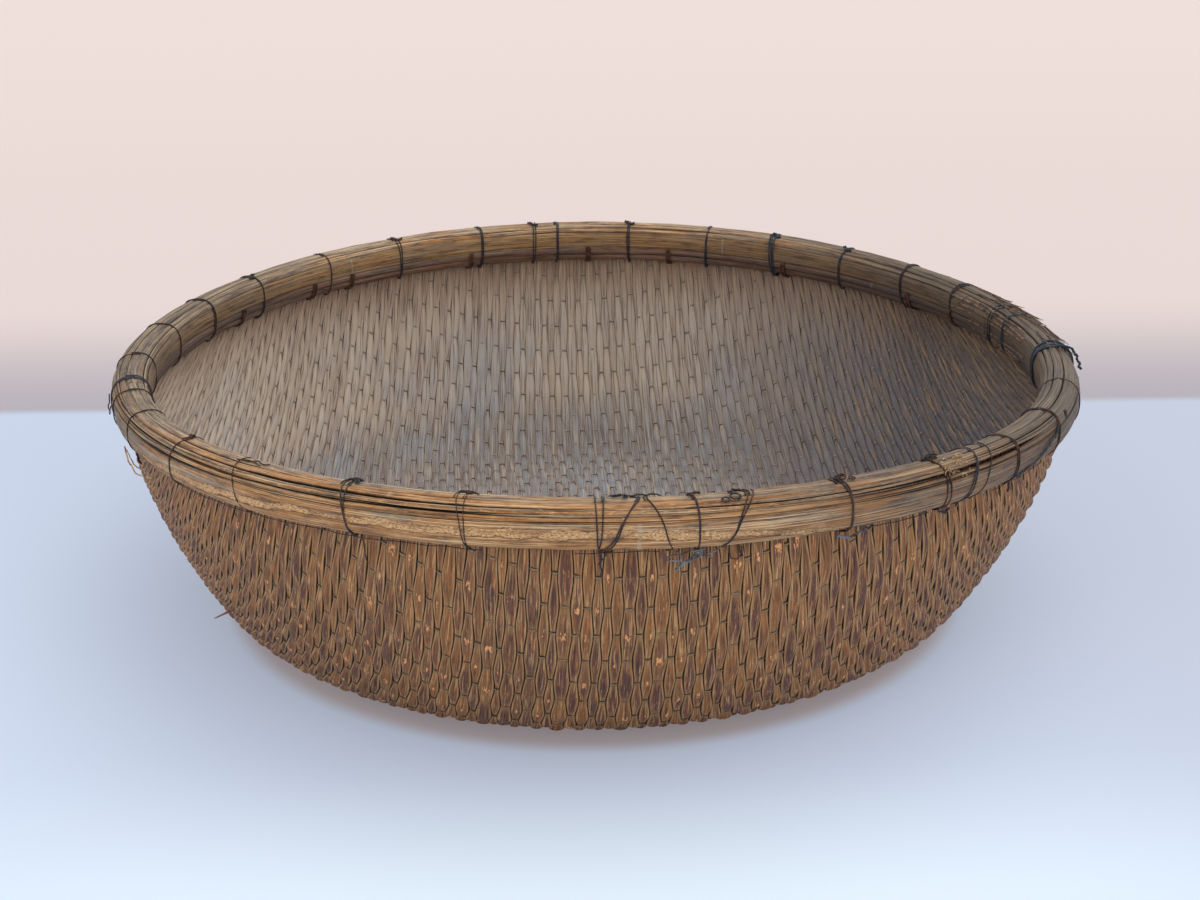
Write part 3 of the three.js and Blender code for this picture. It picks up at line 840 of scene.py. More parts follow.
# %% The torn band of the lowest slat
TEAR_BEARINGS = np.array([-160, -138, -124, -112, -104, -95, -88, -81, -74, -70, -64, -58, -50, 0])
TEAR_MIDDLES = np.array(
    [-0.1, 0.15, 0.3, 0.36, 0.4, 0.42, 0.38, 0.2, 0, -0.35, -0.7, -0.82, -0.92, 0]
)
TEAR_HALF_WIDTHS = np.array(
    [0.1, 0.16, 0.2, 0.22, 0.26, 0.28, 0.26, 0.28, 0.24, 0.2, 0.17, 0.14, 0.1, 0.1]
)
TEAR_FRONT = (-165, -50)
PATCHY_FROM, PATCHY_OVER = -108, 12
TEAR_SOFTNESS = 0.045
TEAR_DEPTH, TEAR_ROUGHNESS = 0.7, 0.35


def torn_band(place, half, bearing, along):
    """How far the skin is torn away, 0 to 1: the distance to a wandering middle line against a
    half width with ragged changes at several scales. At the back only noise says where it is, and
    at the left the band comes and goes."""
    degrees = half_turn(bearing)
    middle = np.interp(degrees, TEAR_BEARINGS, TEAR_MIDDLES) + 0.06 * noise(31, bearing * 9)
    reach = np.interp(degrees, TEAR_BEARINGS, TEAR_HALF_WIDTHS)
    behind = 0.1 + 0.22 * noise(34, bearing * 3.1)
    reach = np.where((degrees > TEAR_FRONT[1]) | (degrees < TEAR_FRONT[0]), behind, reach)
    patchy = np.clip((PATCHY_FROM - degrees) / PATCHY_OVER, 0, 1) * (degrees > TEAR_FRONT[0])
    reach = reach + patchy * (0.24 * noise(39, along / 30, place * 1.5) - 0.03)
    ragged = 0.09 * noise(32, along / 14, place * 2) + 0.07 * noise(33, along / 4.5, place * half / 2)
    ragged = ragged + 0.05 * noise(36, along / 1.6, place * half)
    return np.clip((reach + ragged - np.abs(place - middle)) / TEAR_SOFTNESS, 0, 1)


def torn_skin(place, half, bearing, along):
    """How far the skin is torn away, where the slat is darker below the tear in front, and how deep the
    torn surface lies, which is rough at two scales."""
    tear = torn_band(place, half, bearing, along)
    degrees = half_turn(bearing)
    middle = np.interp(degrees, TEAR_BEARINGS, TEAR_MIDDLES)
    below = np.clip((middle - place) / 0.2, 0, 1) * (tear < 0.5) * np.clip(2 - degrees / -40, 0, 1)
    rough = noise(35, place * half / 0.9, along / 3.2) + 0.5 * noise(37, place * half / 0.5, along)
    return tear, below, tear * (TEAR_DEPTH + TEAR_ROUGHNESS * rough)


# %% Weather, growth rings and nail holes
WEATHER, WEATHER_LEAST, WEATHER_BEARING = 0.6, -0.12, 95 * DEGREE
WEATHER_PATCHES = 0.5
RING_EVERY, RING_WIDTH, RING_HEIGHT = 1.3, 1.2, 0.3
HOLE_DEPTH, HOLE_RADIUS = 2.8, 2.6
HOLE_SHADE, HOLE_SHADE_START = 0.22, 0.56


def weathered(index, bearing, place):
    """Slats are greyer at both sides than at the front and back, sin(bearing + 95 degrees)^2, and
    greyer in patches."""
    sides = WEATHER * np.sin(bearing + WEATHER_BEARING) ** 2 + WEATHER_LEAST
    return sides + WEATHER_PATCHES * noise(95 + index, bearing * 11, place)


def ring_distance(index, bearing, ring_at):
    """Millimetres to the nearest growth ring: the given one, or one every 1.3 radians or so."""
    if ring_at is not None:
        return np.abs(bearing - ring_at * DEGREE) * RIM_RADIUS
    share = (bearing / RING_EVERY + 0.37 * index + 0.25 * noise(90, index * 3.3, bearing)) % 1
    return np.abs(share - 0.5) * RING_EVERY * RIM_RADIUS


def hole_distance(hole, bearing, length):
    """Millimetres to a nail hole, which is given by its bearing and outline angle in degrees."""
    hole_length = np.interp(hole[1], outline_angles, outline_lengths)
    return np.hypot((bearing - hole[0] * DEGREE) * RIM_RADIUS, length - hole_length)


# %% One slat
RIB_WIDTH, RIB_HEIGHT = 1.7, 0.22
CLOSED_EDGE = 0.25
DIP_LEAST, DIP_MORE, DIP_WIDTH = 0.3, 0.6, 0.3
BACK_DEPTH, BACK_INSET = 4.0, 0.4


def with_back(grid, mode="edge"):
    """A slat's grid with two more columns for the corners of its back."""
    return np.pad(grid, ((0, 0), (0, 2)), mode=mode)


def slat(name, node, index, ends, tone, fleck=0.3, crown=0.5, across=15, stations=1000, torn=False,
         rise=0.0, width=1, material=SLAT, slot="rim_slats", hole=None, ring_at=None):
    """One slat between borders `index` and `index + width`, from one bearing to another, both in
    degrees. Its section follows the outline: rise + ribs + lumps - crown * place^2 - the dip at its
    edges. It has a flat back. `tone` is how grey it is at its lower and its upper edge. It may be
    torn, and a nail hole and a growth ring can be given."""
    bearing = np.linspace(*ends, stations)[:, None] * DEGREE
    low = slat_border(index, bearing, 1)
    high = slat_border(index + width, bearing, -1)
    even = np.linspace(1, -1, across)
    place = (0.45 * even + 0.55 * np.sin(even * np.pi / 2))[None, :]
    half = (high - low) / 2
    length = (low + high) / 2 + half * place
    along = bearing * RIM_RADIUS
    opened = np.where(place > 0, opening(index + width, bearing), opening(index, bearing))
    edge = (1 - np.abs(place)) * half + CLOSED_EDGE * (1 - opened)
    rib_place = place * half / RIB_WIDTH + 0.3 * noise(3, bearing * 8)
    ribs = RIB_HEIGHT * noise(60 + index, rib_place, bearing * 5)
    lumps = 0.3 * noise(80 + index, bearing * 9) + 0.12 * noise(70 + index, bearing * 31)
    dip = (DIP_LEAST + DIP_MORE * opened) * np.exp(-edge / DIP_WIDTH)
    ring = ring_distance(index, bearing, ring_at)
    offset = rise + ribs + lumps - crown * place**2 - dip
    offset = offset + RING_HEIGHT * np.exp(-((ring / RING_WIDTH) ** 2))
    tear = below = np.zeros_like(offset)
    if hole:
        reach = hole_distance(hole, bearing, length)
        offset = offset - HOLE_DEPTH * np.exp(-((reach / HOLE_RADIUS) ** 4))
        # Painted shade in the nail hole, carried by the edge attribute.
        edge = np.minimum(edge, HOLE_SHADE * reach - HOLE_SHADE_START)
    if torn:
        tear, below, depth = torn_skin(place, half, bearing, along)
        offset = offset - depth
    out, up = outline(np.interp(length, outline_lengths, outline_angles) * DEGREE, offset)
    back = np.concatenate([low + BACK_INSET, high - BACK_INSET], 1)
    back = np.interp(back, outline_lengths, outline_angles) * DEGREE
    back_out, back_up = outline(back, -BACK_DEPTH)
    points = rim_point(bearing, np.concatenate([out, back_out], 1), np.concatenate([up, back_up], 1))
    grey = tone[0] + (tone[1] - tone[0]) * np.clip(place * 2 + 0.1, 0, 1)
    grey = grey + weathered(index, bearing, place)
    beside = with_back(place * half)
    grain = np.stack(np.broadcast_arrays(beside + index * 31.0, along, index * 9.0), -1)
    values = {
        "edge": with_back(edge, "constant").ravel(),
        "tear": with_back(tear, "constant").ravel(),
        "tone": with_back(grey).ravel(),
        "fleck": spread(fleck, points.shape[:2]),
        "ring": spread(ring, points.shape[:2]),
        "below": with_back(below).ravel(),
        "grain": grain[None],
    }
    return make_piece(name, points, loft_faces(1, stations, across + 2), material, values, node)


# %% Lay the slats: name, node, first border, ends, greyness, flecks, crown and columns
OUTSIDE_BUTT, INSIDE_BUTT, HALF_BUTT = 195, 15, 0.1
to_joint = (-5.4, 329.6)
whole_outside = (OUTSIDE_BUTT + HALF_BUTT, OUTSIDE_BUTT + 360 - HALF_BUTT)
whole_inside = (INSIDE_BUTT + HALF_BUTT, INSIDE_BUTT + 360 - HALF_BUTT)
SLATS = (
    ("slat_side_1", "rim_outer_middle_slat", 1, to_joint, (0.7, 0.4), 0.1, 0.5, 11),
    ("slat_side_2", "rim_outer_middle_slat", 2, to_joint, (-0.1, 0.2), 0.2, 0.9, 15),
    ("slat_side_3", "rim_outer_upper_slat", 3, to_joint, (0.9, 0.9), 0.1, 0.5, 9),
    ("slat_crown_1", "rim_top_outer_slat", 4, to_joint, (0.2, 0.5), 0.85, 0.5, 15),
    ("slat_crown_2", "rim_top_outer_slat", 5, to_joint, (0.8, 0.6), 0.7, 0.5, 15),
    ("slat_crown_3", "rim_top_outer_slat", 6, to_joint, (0.1, 0.5), 0.35, 0.7, 19),
    ("slat_crown_4", "rim_top_inner_slat", 7, whole_outside, (0.8, 0.8), 0.15, 0.5, 15),
    ("slat_crown_5", "rim_top_inner_slat", 8, whole_outside, (0.7, 0.5), 0.1, 0.5, 15),
    ("slat_crown_6", "rim_top_inner_slat", 9, whole_outside, (0.5, 0.5), 0.1, 0.5, 15),
)
slat("slat_wide_low", ["rim_outer_lower_slat"], 0, whole_outside, (0.0, 0.5), 0.2, 0.2, 44, 2000,
     torn=True)
for name, node, *settings in SLATS:
    slat(name, [node], *settings)

# %% Lay the inner strip, broken once at the left, the inner rods and the cover of the joint
BREAK_START, BREAK_END = 192.5, 195.5
COVER_ENDS = (-30, -5)
NAIL_HOLE, COVER_RING = (-27.2, 29), -16.2
for part, ends in (("back", (whole_inside[0], BREAK_START)), ("front", (BREAK_END, whole_inside[1]))):
    slat(f"bamboo_strip_inside_{part}", ["rim_inner_broad_strip"], 10, ends, (0.3, 0.3), 0.0, 0.4,
         19, 600, material=BROAD, slot="bamboo_strip")
for name, index in (("rod_inside_high", 11), ("rod_inside_low", 12)):
    slat(name, ["rim_inner_lower_rods"], index, whole_inside, (0.3, 0.5), 0.05, 0.9, material=INNER)
slat("joint_cover", ["rim_joint_cover_slat"], 1, COVER_ENDS, (0.9, 0.9), 0.1, 0.2, 40, 300, rise=-1.0,
     width=6, hole=NAIL_HOLE, ring_at=COVER_RING)
nodes["rim_inner_packing_strip"].material_slots[0].material = BROAD
print("rim slats laid between", len(OUTLINE_BORDERS), "borders")

# %% [markdown]
# ## Iron wire
#
# Short lengths of soft iron wire tie the bundle to the wall. Each one goes once or twice round the
# bundle, through the weave just below it, and its two ends are twisted together in a small knot, on
# the crown or under the edge. The wire is thin, dull and dark, with reddish brown rust, and in some
# places it still has a blue-grey skin. Curve objects with a round bevel would give the same tubes.
# Arrays are used because a twist is then one formula, and the path can be laid on the rim's map.

# %% The wire finish
RUSTY_BLACK, BLUE_BLACK, RUST = (46, 34, 30), (44, 62, 76), (88, 54, 42)
METAL_AND_PAINTED_SHEEN, WIRE_SPECK = (140, 144, 146), (136, 132, 126)


def wire_finish():
    """Rusty or bluish black, by the attribute `blue`, with rust in patches. Where the second attribute is
    high the wire turns pale grey: partly bare metal and partly a painted sheen."""
    finish = Finish("iron_wire", roughness=0.5, metallic=0.1, specular=0.25)
    blue, metal_and_painted_sheen = finish.value("blue"), finish.value("metal_and_painted_sheen")
    rust = finish.noise(finish.place(), 110.0, 4.0, 0.65)
    fine = finish.noise(finish.place(), 900.0, 2.0)
    dark = blue.mixed(colour(*RUSTY_BLACK), colour(*BLUE_BLACK))
    shade = rust.step(0.46, 0.62).mixed(dark, colour(*RUST))
    shade = layered((blue * 0.8).mixed(shade, dark), (
        # Pale grey where the wire is bare metal, with a painted sheen.
        (metal_and_painted_sheen * rust.step(0.66, 0.42), METAL_AND_PAINTED_SHEEN),
        (fine.step(0.58, 0.72) * 0.5, WIRE_SPECK),
    ))
    finish.feed("Base Color", shade)
    finish.feed("Metallic", rust.step(0.6, 0.44) * 0.2)
    finish.feed("Roughness", rust * 0.4 + 0.3)
    finish.bump(rust * 0.5 + fine * 0.5, 0.0002)
    return finish.material


WIRE = wire_finish()

# %% Tubes along any path
WIRE_SIDES = 7
FIRST_ACROSS = (0.3, 0.5, 0.8)


def unit(vectors):
    return vectors / np.linalg.norm(vectors, axis=-1, keepdims=True)


def smoothed(path, passes):
    """Evens out a path: each point moves to the mean of itself and its neighbours, by 1, 2, 1."""
    path = np.array(path, float)
    for _ in range(passes):
        path[1:-1] = (path[:-2] + 2 * path[1:-1] + path[2:]) / 4
    return path


def frames(path):
    """Two directions across a path at each point, carried along it without twisting: each first
    direction is the one before, made square to the path again."""
    forward = unit(np.gradient(path, axis=0))
    first = np.empty_like(forward)
    carried = np.cross(forward[0], FIRST_ACROSS)
    for index, direction in enumerate(forward):
        carried = unit(carried - (carried @ direction) * direction)
        first[index] = carried
    return first, np.cross(forward, first)


def tube(path, radii, sides=WIRE_SIDES):
    """Rings round a path of points in metres, with a radius in millimetres at each point."""
    first, second = frames(path)
    turn = (np.arange(sides) * 2 * np.pi / sides)[None, :, None]
    radii = np.broadcast_to(radii, len(path))[:, None, None] / 1000
    return path[:, None] + radii * (np.cos(turn) * first[:, None] + np.sin(turn) * second[:, None])


def tube_piece(name, tubes, material, values=None, stands_for=()):
    """One piece from several tubes, which may have different numbers of rings."""
    squares, caps, first = [], [], 0
    for rings in tubes:
        tube_squares, tube_caps = loft_faces(1, *rings.shape[:2])
        squares.append(tube_squares + first)
        caps.append(tube_caps + first)
        first += rings.shape[0] * rings.shape[1]
    points = np.concatenate([rings.reshape(-1, 3) for rings in tubes])
    values = {key: spread(value, len(points)) for key, value in (values or {}).items()}
    faces = [np.concatenate(squares), np.concatenate(caps)]
    return make_piece(name, points, faces, material, values, stands_for)


# %% Wires round the bundle, through knots and in curls
LEAN_MIDDLE, LEAN_REACH = 20, 73
WIRE_LIFT, LIFT_BENDS, SIDE_BENDS = 0.8, 0.25, 0.7
UNDER_REACH, UNDER_GAP = 7, 0.9
BEND_EVERY = 2.5
CURL_SHRINK, CURL_FLATTEN = 0.35, 0.8


def leaning(angle):
    """The share of a tie's lean at an outline angle: from -1/2 under the outside edge it grows
    evenly to 1/2 on the crown, and goes back on the inside."""
    turned = (angle - LEAN_MIDDLE + 180) % 360 - 180
    back = np.sign(turned) * (180 - np.abs(turned)) / (360 - 2 * LEAN_REACH)
    return np.where(np.abs(turned) < LEAN_REACH, turned / (2 * LEAN_REACH), back)


def loop_path(bearing, lean, start, end, advance, seed, radius=0.5, stations=110):
    """A wire round the bundle, from one number of turns to another, counted from the crown towards
    the inside. It advances sideways, leans, and hugs the slats with small irregular bends. Under
    the bundle it goes straight through the wall."""
    turns = np.linspace(start, end, stations)
    angle = (turns + 0.25) * 2 * np.pi
    lift = radius * WIRE_LIFT + LIFT_BENDS * noise(seed, turns * 9)
    out, up = outline(angle, lift)
    below = np.interp(out, [-WALL_HALF, WALL_HALF], [INNER_DROP, OUTER_DROP])
    up = np.where((np.abs(out) < UNDER_REACH) & (up < 0), -below - UNDER_GAP, up)
    out, up = smoothed(np.stack([out, up], -1), 6).T
    sideways = advance * (turns - (start + end) / 2) + SIDE_BENDS * noise(seed + 1, turns * 4)
    place = bearing + lean * leaning(angle / DEGREE) + sideways / RIM_RADIUS
    return rim_point(place, out, up)


def drawn(knots, stations=40, passes=4, shake=0.0, seed=0):
    """A wire through given knots: bearing in degrees, then millimetres out and up from the wall's middle.
    Straight between them, then evened out."""
    knots = np.array(knots, float)
    steps = np.linalg.norm(np.diff(knots * (RIM_RADIUS * DEGREE, 1, 1), axis=0), axis=1)
    reach = np.concatenate([[0], np.cumsum(steps)])
    places = np.linspace(0, reach[-1], stations)
    path = np.stack([np.interp(places, reach, knots[:, part]) for part in range(3)], -1)
    path = smoothed(path, passes)
    bends = np.stack([noise(seed + part, places / BEND_EVERY) for part in range(3)], -1)
    path = path + shake * bends / (RIM_RADIUS * DEGREE, 1, 1)
    return rim_point(path[:, 0] * DEGREE, path[:, 1], path[:, 2])


def draped(knots, lift=0.5, **settings):
    """A wire on the slats through knots of bearing and outline angle, both in degrees."""
    knots = [(bearing, *outline(np.float64(angle) * DEGREE, lift)) for bearing, angle in knots]
    return drawn(knots, **settings)


def twisted(path, turns, radius):
    """Two wires wound round each other: each circles the path at its own radius, half a turn
    apart."""
    first, second = frames(path)
    turn = np.linspace(0, turns * 2 * np.pi, len(path))[:, None]
    circle = radius / 1000 * (np.cos(turn) * first + np.sin(turn) * second)
    return [path + circle, path - circle]


def curled(bearing, angle, size, turns, seed, stations=40):
    """A loose curl of a wire's end, lying on the slats: a ring that shrinks and lifts a little."""
    turn = np.linspace(0, turns * 2 * np.pi, stations)
    reach = size * (1 - CURL_SHRINK * turn / turn[-1])
    along = reach * np.cos(turn + seed)
    around = reach * np.sin(turn + seed) * CURL_FLATTEN
    length = np.interp(angle, outline_angles, outline_lengths) + around
    place = bearing * DEGREE + along / RIM_RADIUS
    lift = 0.7 + 0.8 * np.abs(noise(seed, turn)) + 0.3 * turn / np.pi
    return rim_surface(place, np.interp(length, outline_lengths, outline_angles) * DEGREE, lift)


# %% [markdown]
# Each tie below has its bearing and lean in degrees, how many wires it has and how far apart in
# millimetres, the wire's radius, how blue it is, and where its ends are twisted: on the crown,
# under the outside edge, on both or out of sight. Random places would be shorter to write, but
# the real ties are uneven, closer together at the front, so a table says where each one is.

# %% The thirty-six ties
CROWN, UNDER, BOTH, HIDDEN = "crown", "under", "both", "hidden"
TIES = (
    (-129.5, -2, 1, 0, 0.34, 0.1, HIDDEN), (-115.2, -1.5, 2, 1.7, 0.42, 0.4, CROWN),
    (-102.9, -1, 2, 2.6, 0.3, 0.4, HIDDEN), (-89.7, 0, 2, 2.2, 0.4, 0.2, HIDDEN),
    (-87.5, 3.4, 2, 1.1, 0.42, 0.3, CROWN), (-84, -2.4, 1, 0, 0.42, 0.0, HIDDEN),
    (-80.4, -0.8, 2, 1.2, 0.42, 0.2, CROWN), (-76.4, 3.2, 2, 1.0, 0.42, 0.1, BOTH),
    (-65.1, 0, 2, 1.1, 0.5, 0.2, CROWN), (-53.3, -0.5, 2, 1.4, 0.45, 0.0, CROWN),
    (-49.2, 3.0, 2, 1.0, 0.42, 0.4, HIDDEN), (-47, 3.2, 1, 0, 0.35, 0.3, HIDDEN),
    (-41.8, 1, 2, 1.4, 0.45, 0.1, UNDER), (-31, 1.5, 2, 1.3, 0.45, 0.0, HIDDEN),
    (-19.5, 3, 1, 0, 0.4, 0.1, HIDDEN), (9.7, 0, 2, 1.2, 0.5, 0.9, UNDER),
    (14, 0, 2, 3.4, 0.5, 0.8, UNDER), (24.5, 0, 2, 1.0, 0.5, 0.4, HIDDEN),
    (35.5, 0, 2, 1.1, 0.5, 0.3, UNDER), (47.8, 0, 2, 1.2, 0.45, 0.6, CROWN),
    (60, 0.6, 3, 1.2, 0.6, 0.8, BOTH), (71.3, 0, 2, 1.3, 0.5, 0.6, UNDER),
    (84, 0, 2, 1.0, 0.55, 0.5, CROWN), (95.5, 0, 2, 1.1, 0.5, 0.6, UNDER),
    (99.3, 0, 2, 1.2, 0.5, 0.7, CROWN), (107.8, 0, 2, 1.2, 0.5, 0.5, UNDER),
    (121.3, 0, 2, 1.1, 0.5, 0.5, CROWN), (134, 0, 1, 0, 0.5, 0.5, UNDER),
    (147.5, 0, 2, 1.0, 0.5, 0.4, CROWN), (159.3, 0, 2, 1.0, 0.5, 0.3, UNDER),
    (170.3, 0, 1, 0, 0.5, 0.2, UNDER), (183.5, -1, 1, 0, 0.45, 0.2, UNDER),
    (194, -2, 3, 1.3, 0.42, 0.7, UNDER), (198, 0, 1, 0, 0.42, 0.2, HIDDEN),
    (206.7, 0, 1, 0, 0.4, 0.0, UNDER), (219.2, 0, 1, 0, 0.42, 0.1, CROWN),
)


# %% Wind the ties and twist their ends
TIE_START, TIE_END, TIE_ADVANCE = -0.02, 1.03, 1.4
CROSSING = 0.7
TWIST_WIDTH, END_THINNER = 1.05, 0.85


def knot_paths(bearing, place, radius, seed):
    """The two ends of a tie, twisted together for a few turns and bent over. On the crown they lie
    along the inner edge and curl; under the edge they point down over the weave."""
    way = 1.0 if hashed(seed, 1, 1) > 0 else -1.0
    size = 4 + 2 * abs(hashed(seed, 2, 2))
    if place == CROWN:
        start, middle = (bearing, 104), (bearing + way * 0.45, 108)
        base = draped((start, middle, (bearing + way * size / 5.5, 101)), 1.0, shake=0.4, seed=seed)
        curl = curled(bearing - way * 0.4, 92, 1.6, 1.3, seed)
        return [*twisted(base, 3, radius * TWIST_WIDTH), curl]
    ends = (
        (bearing, 8.6, -12.5), (bearing + way * 0.25, 7.6, -16), (bearing + way * size / 9, 7, -19.5),
    )
    return twisted(drawn(ends, shake=0.5, seed=seed), 3.5, radius * TWIST_WIDTH)


for index, (bearing, lean, wires, gap, radius, blue, knot) in enumerate(TIES):
    paths = []
    for number in range(wires):
        side = number - (wires - 1) / 2
        seed = 200 + 7 * index + 3 * number
        place = bearing * DEGREE + side * gap / RIM_RADIUS
        cross = lean + CROSSING * hashed(seed, 3, 4) * (wires > 1)
        paths.append(
            loop_path(place, cross * DEGREE, TIE_START, TIE_END, TIE_ADVANCE, seed, radius)
        )
    for where in (CROWN, UNDER):
        if knot in (where, BOTH):
            paths += knot_paths(bearing, where, radius * END_THINNER, 600 + index)
    tubes = [tube(path, radius) for path in paths]
    node = f"wire_tie_{index + 1:02d}"
    tube_piece(f"tie_{index + 1:02d}", tubes, WIRE, {"blue": blue}, [node])
print("wire ties:", len(TIES))

# %% [markdown]
# Some ends are too particular for that pattern: two twisted knots that hang below the front edge,
# loops and tails between ties, wires that run on down into the weave, and a thin wire that follows
# the lower edge of the widest slat. Each is drawn through a few named places, and a smooth path and
# a little shake turn those places into a bent wire.

# %% The knots that hang below the front edge, pale grey with bare metal and a painted sheen
END_RADIUS, KNOT_RADIUS = 0.42, 0.45
knot_left = drawn(((-79.7, 9.5, -11), (-80.8, 8.2, -17), (-82.5, 7.5, -24.5)), shake=0.4, seed=610)
knot_left_short = drawn(((-79.9, 9, -15.5), (-81, 8.5, -18.5), (-82, 8, -21.5)), shake=0.4, seed=620)
knot_right = ((-66.2, 8.5, -14), (-64.8, 9, -16.5), (-63.4, 9, -13.8), (-62.6, 9, -12.6))
small_loop = ((-80.2, 9.6, -12.4), (-83, 9, -15.6), (-83.6, 8.4, -17.4), (-82.2, 8.6, -18.6))
front_knots = [
    *twisted(knot_left, 3.5, 0.55),
    *twisted(knot_left_short, 2, 0.6),
    *twisted(drawn(knot_right, seed=630), 5, 0.5),
    drawn(((-82.9, 10, -11.6), (-82.2, 8.5, -13.4), (-81.9, 7.5, -17), (-82.2, 7, -24)), shake=0.3),
    drawn(((-78.2, 10, -12), (-79, 8.5, -15.2), (-80.2, 8.2, -16.5), (-81.3, 8, -19.5)), shake=0.3),
    drawn(((-81.2, 9.4, -12), (-79.8, 9.2, -15), (-78.8, 8.8, -18.5)), shake=0.3, seed=616),
    drawn(small_loop, shake=0.3, seed=618),
]

# %% Tails, curls and running wires at the front and left
loose_wires = [
    drawn(((-76.1, 9.6, -12.2), (-75.9, 7.4, -17), (-76.3, 7, -21), (-77, 7, -20), (-77.2, 7.6, -14.5))),
    drawn(((-88.9, 9.8, -12), (-89.3, 8, -16), (-89.8, 6.6, -20)), shake=0.2),
    draped(((-88.6, 104), (-86.3, 108), (-84.2, 106), (-83.6, 103)), 0.9, shake=0.5, seed=640),
    curled(-77.6, 66, 2.3, 1.2, 2.0),
    curled(-76.6, 74, 3.2, 1.6, 5.0),
    curled(-64.7, 96, 3.0, 2.1, 8.0),
    curled(-63.9, 88, 2.2, 1.4, 3.0),
    draped(((-33.4, 15), (-35.5, 1), (-38, -14), (-41.6, -32)), 0.9, shake=0.4, seed=650),
    draped(((-33.0, 13), (-35.8, -4), (-38.4, -20), (-41.2, -40)), 0.9, shake=0.4, seed=655),
    *twisted(draped(((-31.6, 30), (-32.2, 18), (-33.2, 8)), 1.0), 2.5, 0.5),
    draped(((-103.4, 96), (-102.4, 101), (-101.6, 97)), 0.9, shake=0.5, seed=660),
    draped(((-130.3, 88), (-128.6, 94), (-126.2, 91)), 0.9, shake=0.5, seed=668),
    draped(((-130.6, 82), (-129, 90), (-127.2, 86)), 0.9, shake=0.5, seed=672),
    drawn(((-168.5, 14.5, 1), (-168, 15.5, -6), (-166.6, 15, -10), (-166.2, 13.8, -3)), shake=0.5),
    drawn(((-113.6, 7, -12), (-113.7, 5.2, -20), (-113.3, 4.6, -30)), shake=0.5, seed=676),
    drawn(((-89.5, 7, -12), (-89.6, 5.2, -20), (-89.4, 4.6, -28)), shake=0.5, seed=680),
]
for name, paths, radius, look in (
    ("loose_wire_ends", loose_wires, END_RADIUS, {"blue": 0.3}),
    ("front_knots", front_knots, KNOT_RADIUS, {"blue": 0.4, "metal_and_painted_sheen": 0.85}),
):
    tube_piece(name, [tube(path, radius) for path in paths], WIRE, look)

# %% Tangled ends and the wire along the lower edge
TANGLE_WIRES, TANGLE_RADIUS = 5, 0.34
EDGE_WIRE_RADIUS, EDGE_WIRE_OUT, EDGE_WIRE_UP = 0.26, 8.4, -12.6


def bundled(middle, spread_by, count, radius, seed):
    """A tangle of wire ends round one path. Each winds round it at its own distance, which grows
    from its ends as sin(pi * share)^(1/2)."""
    first, second = frames(middle)
    share = np.linspace(0, 1, len(middle))[:, None]
    ends = []
    for number in range(count):
        turn = 2 * np.pi * number / count + share * (2 + hashed(seed, number, 1))
        own = 0.75 + 0.25 * hashed(seed, number, 2)
        reach = spread_by / 1000 * np.sin(np.pi * share) ** 0.5 * own
        ends.append(middle + reach * (np.cos(turn) * first + np.sin(turn) * second))
    return [tube(path, radius) for path in ends]


middles_and_spreads = (
    (draped(((-116, 101), (-115.2, 106), (-114.4, 102)), 1.2), 1.1),
    (draped(((-103.7, 99), (-102.8, 103), (-102, 99)), 1.2), 1.0),
    (draped(((-54.3, 97), (-53.2, 103), (-52, 99)), 1.4), 1.3),
    (drawn(((-53.8, 9, -13), (-52.8, 9, -15), (-52, 8.6, -13.4))), 0.8),
)
tangles = []
for number, (middle, spread_by) in enumerate(middles_and_spreads):
    tangles += bundled(middle, spread_by, TANGLE_WIRES, TANGLE_RADIUS, 700 + number)
tube_piece("wire_tangles", tangles, WIRE, {"blue": 0.45})

edge_wires = []
for start, end in ((-142, -101), (-92, -84), (-62, -55), (-45, -34)):
    edge_bearings = np.linspace(start, end, 4 * (end - start))
    edge_up = EDGE_WIRE_UP + 0.5 * noise(690, edge_bearings / 1.9)
    edge_out = EDGE_WIRE_OUT + 0.6 * noise(691, edge_bearings / 2.3)
    path = rim_point(edge_bearings * DEGREE, edge_out, edge_up)
    edge_wires.append(tube(path, EDGE_WIRE_RADIUS))
tube_piece("edge_wire", edge_wires, WIRE, {"blue": 0.2})
print("loose wires:", len(loose_wires), "front knots:", len(front_knots))

# %% [markdown]
# Old split willow and bamboo shed fibres. A pale one hangs in a loop at the left, thin splinters
# stand up along the crown behind the joint, and on the inside short lashings of brown twine hold
# the two lower rods of the rim. They are thin tubes, like the wires, so the same helpers make them.

# %% Finishes for fibres, splinters, twig and lashings
def fibre_finish(name, dark, light):
    """Mottled between two tints."""
    finish = Finish(name, roughness=0.75)
    mottle = finish.noise(finish.place(), 220.0, 3.0, 0.6)
    finish.feed("Base Color", mottle.step(0.35, 0.65).mixed(colour(*dark), colour(*light)))
    finish.bump(mottle, 0.0003)
    return finish.material


FIBRE = fibre_finish("loose_fibre", (122, 88, 58), (214, 176, 128))
SPLINTER = fibre_finish("splinters", (64, 48, 42), (140, 112, 90))
TWIG = fibre_finish("twig", (112, 62, 50), (166, 104, 86))
LASHING = fibre_finish("lashing", (52, 34, 28), (108, 74, 56))

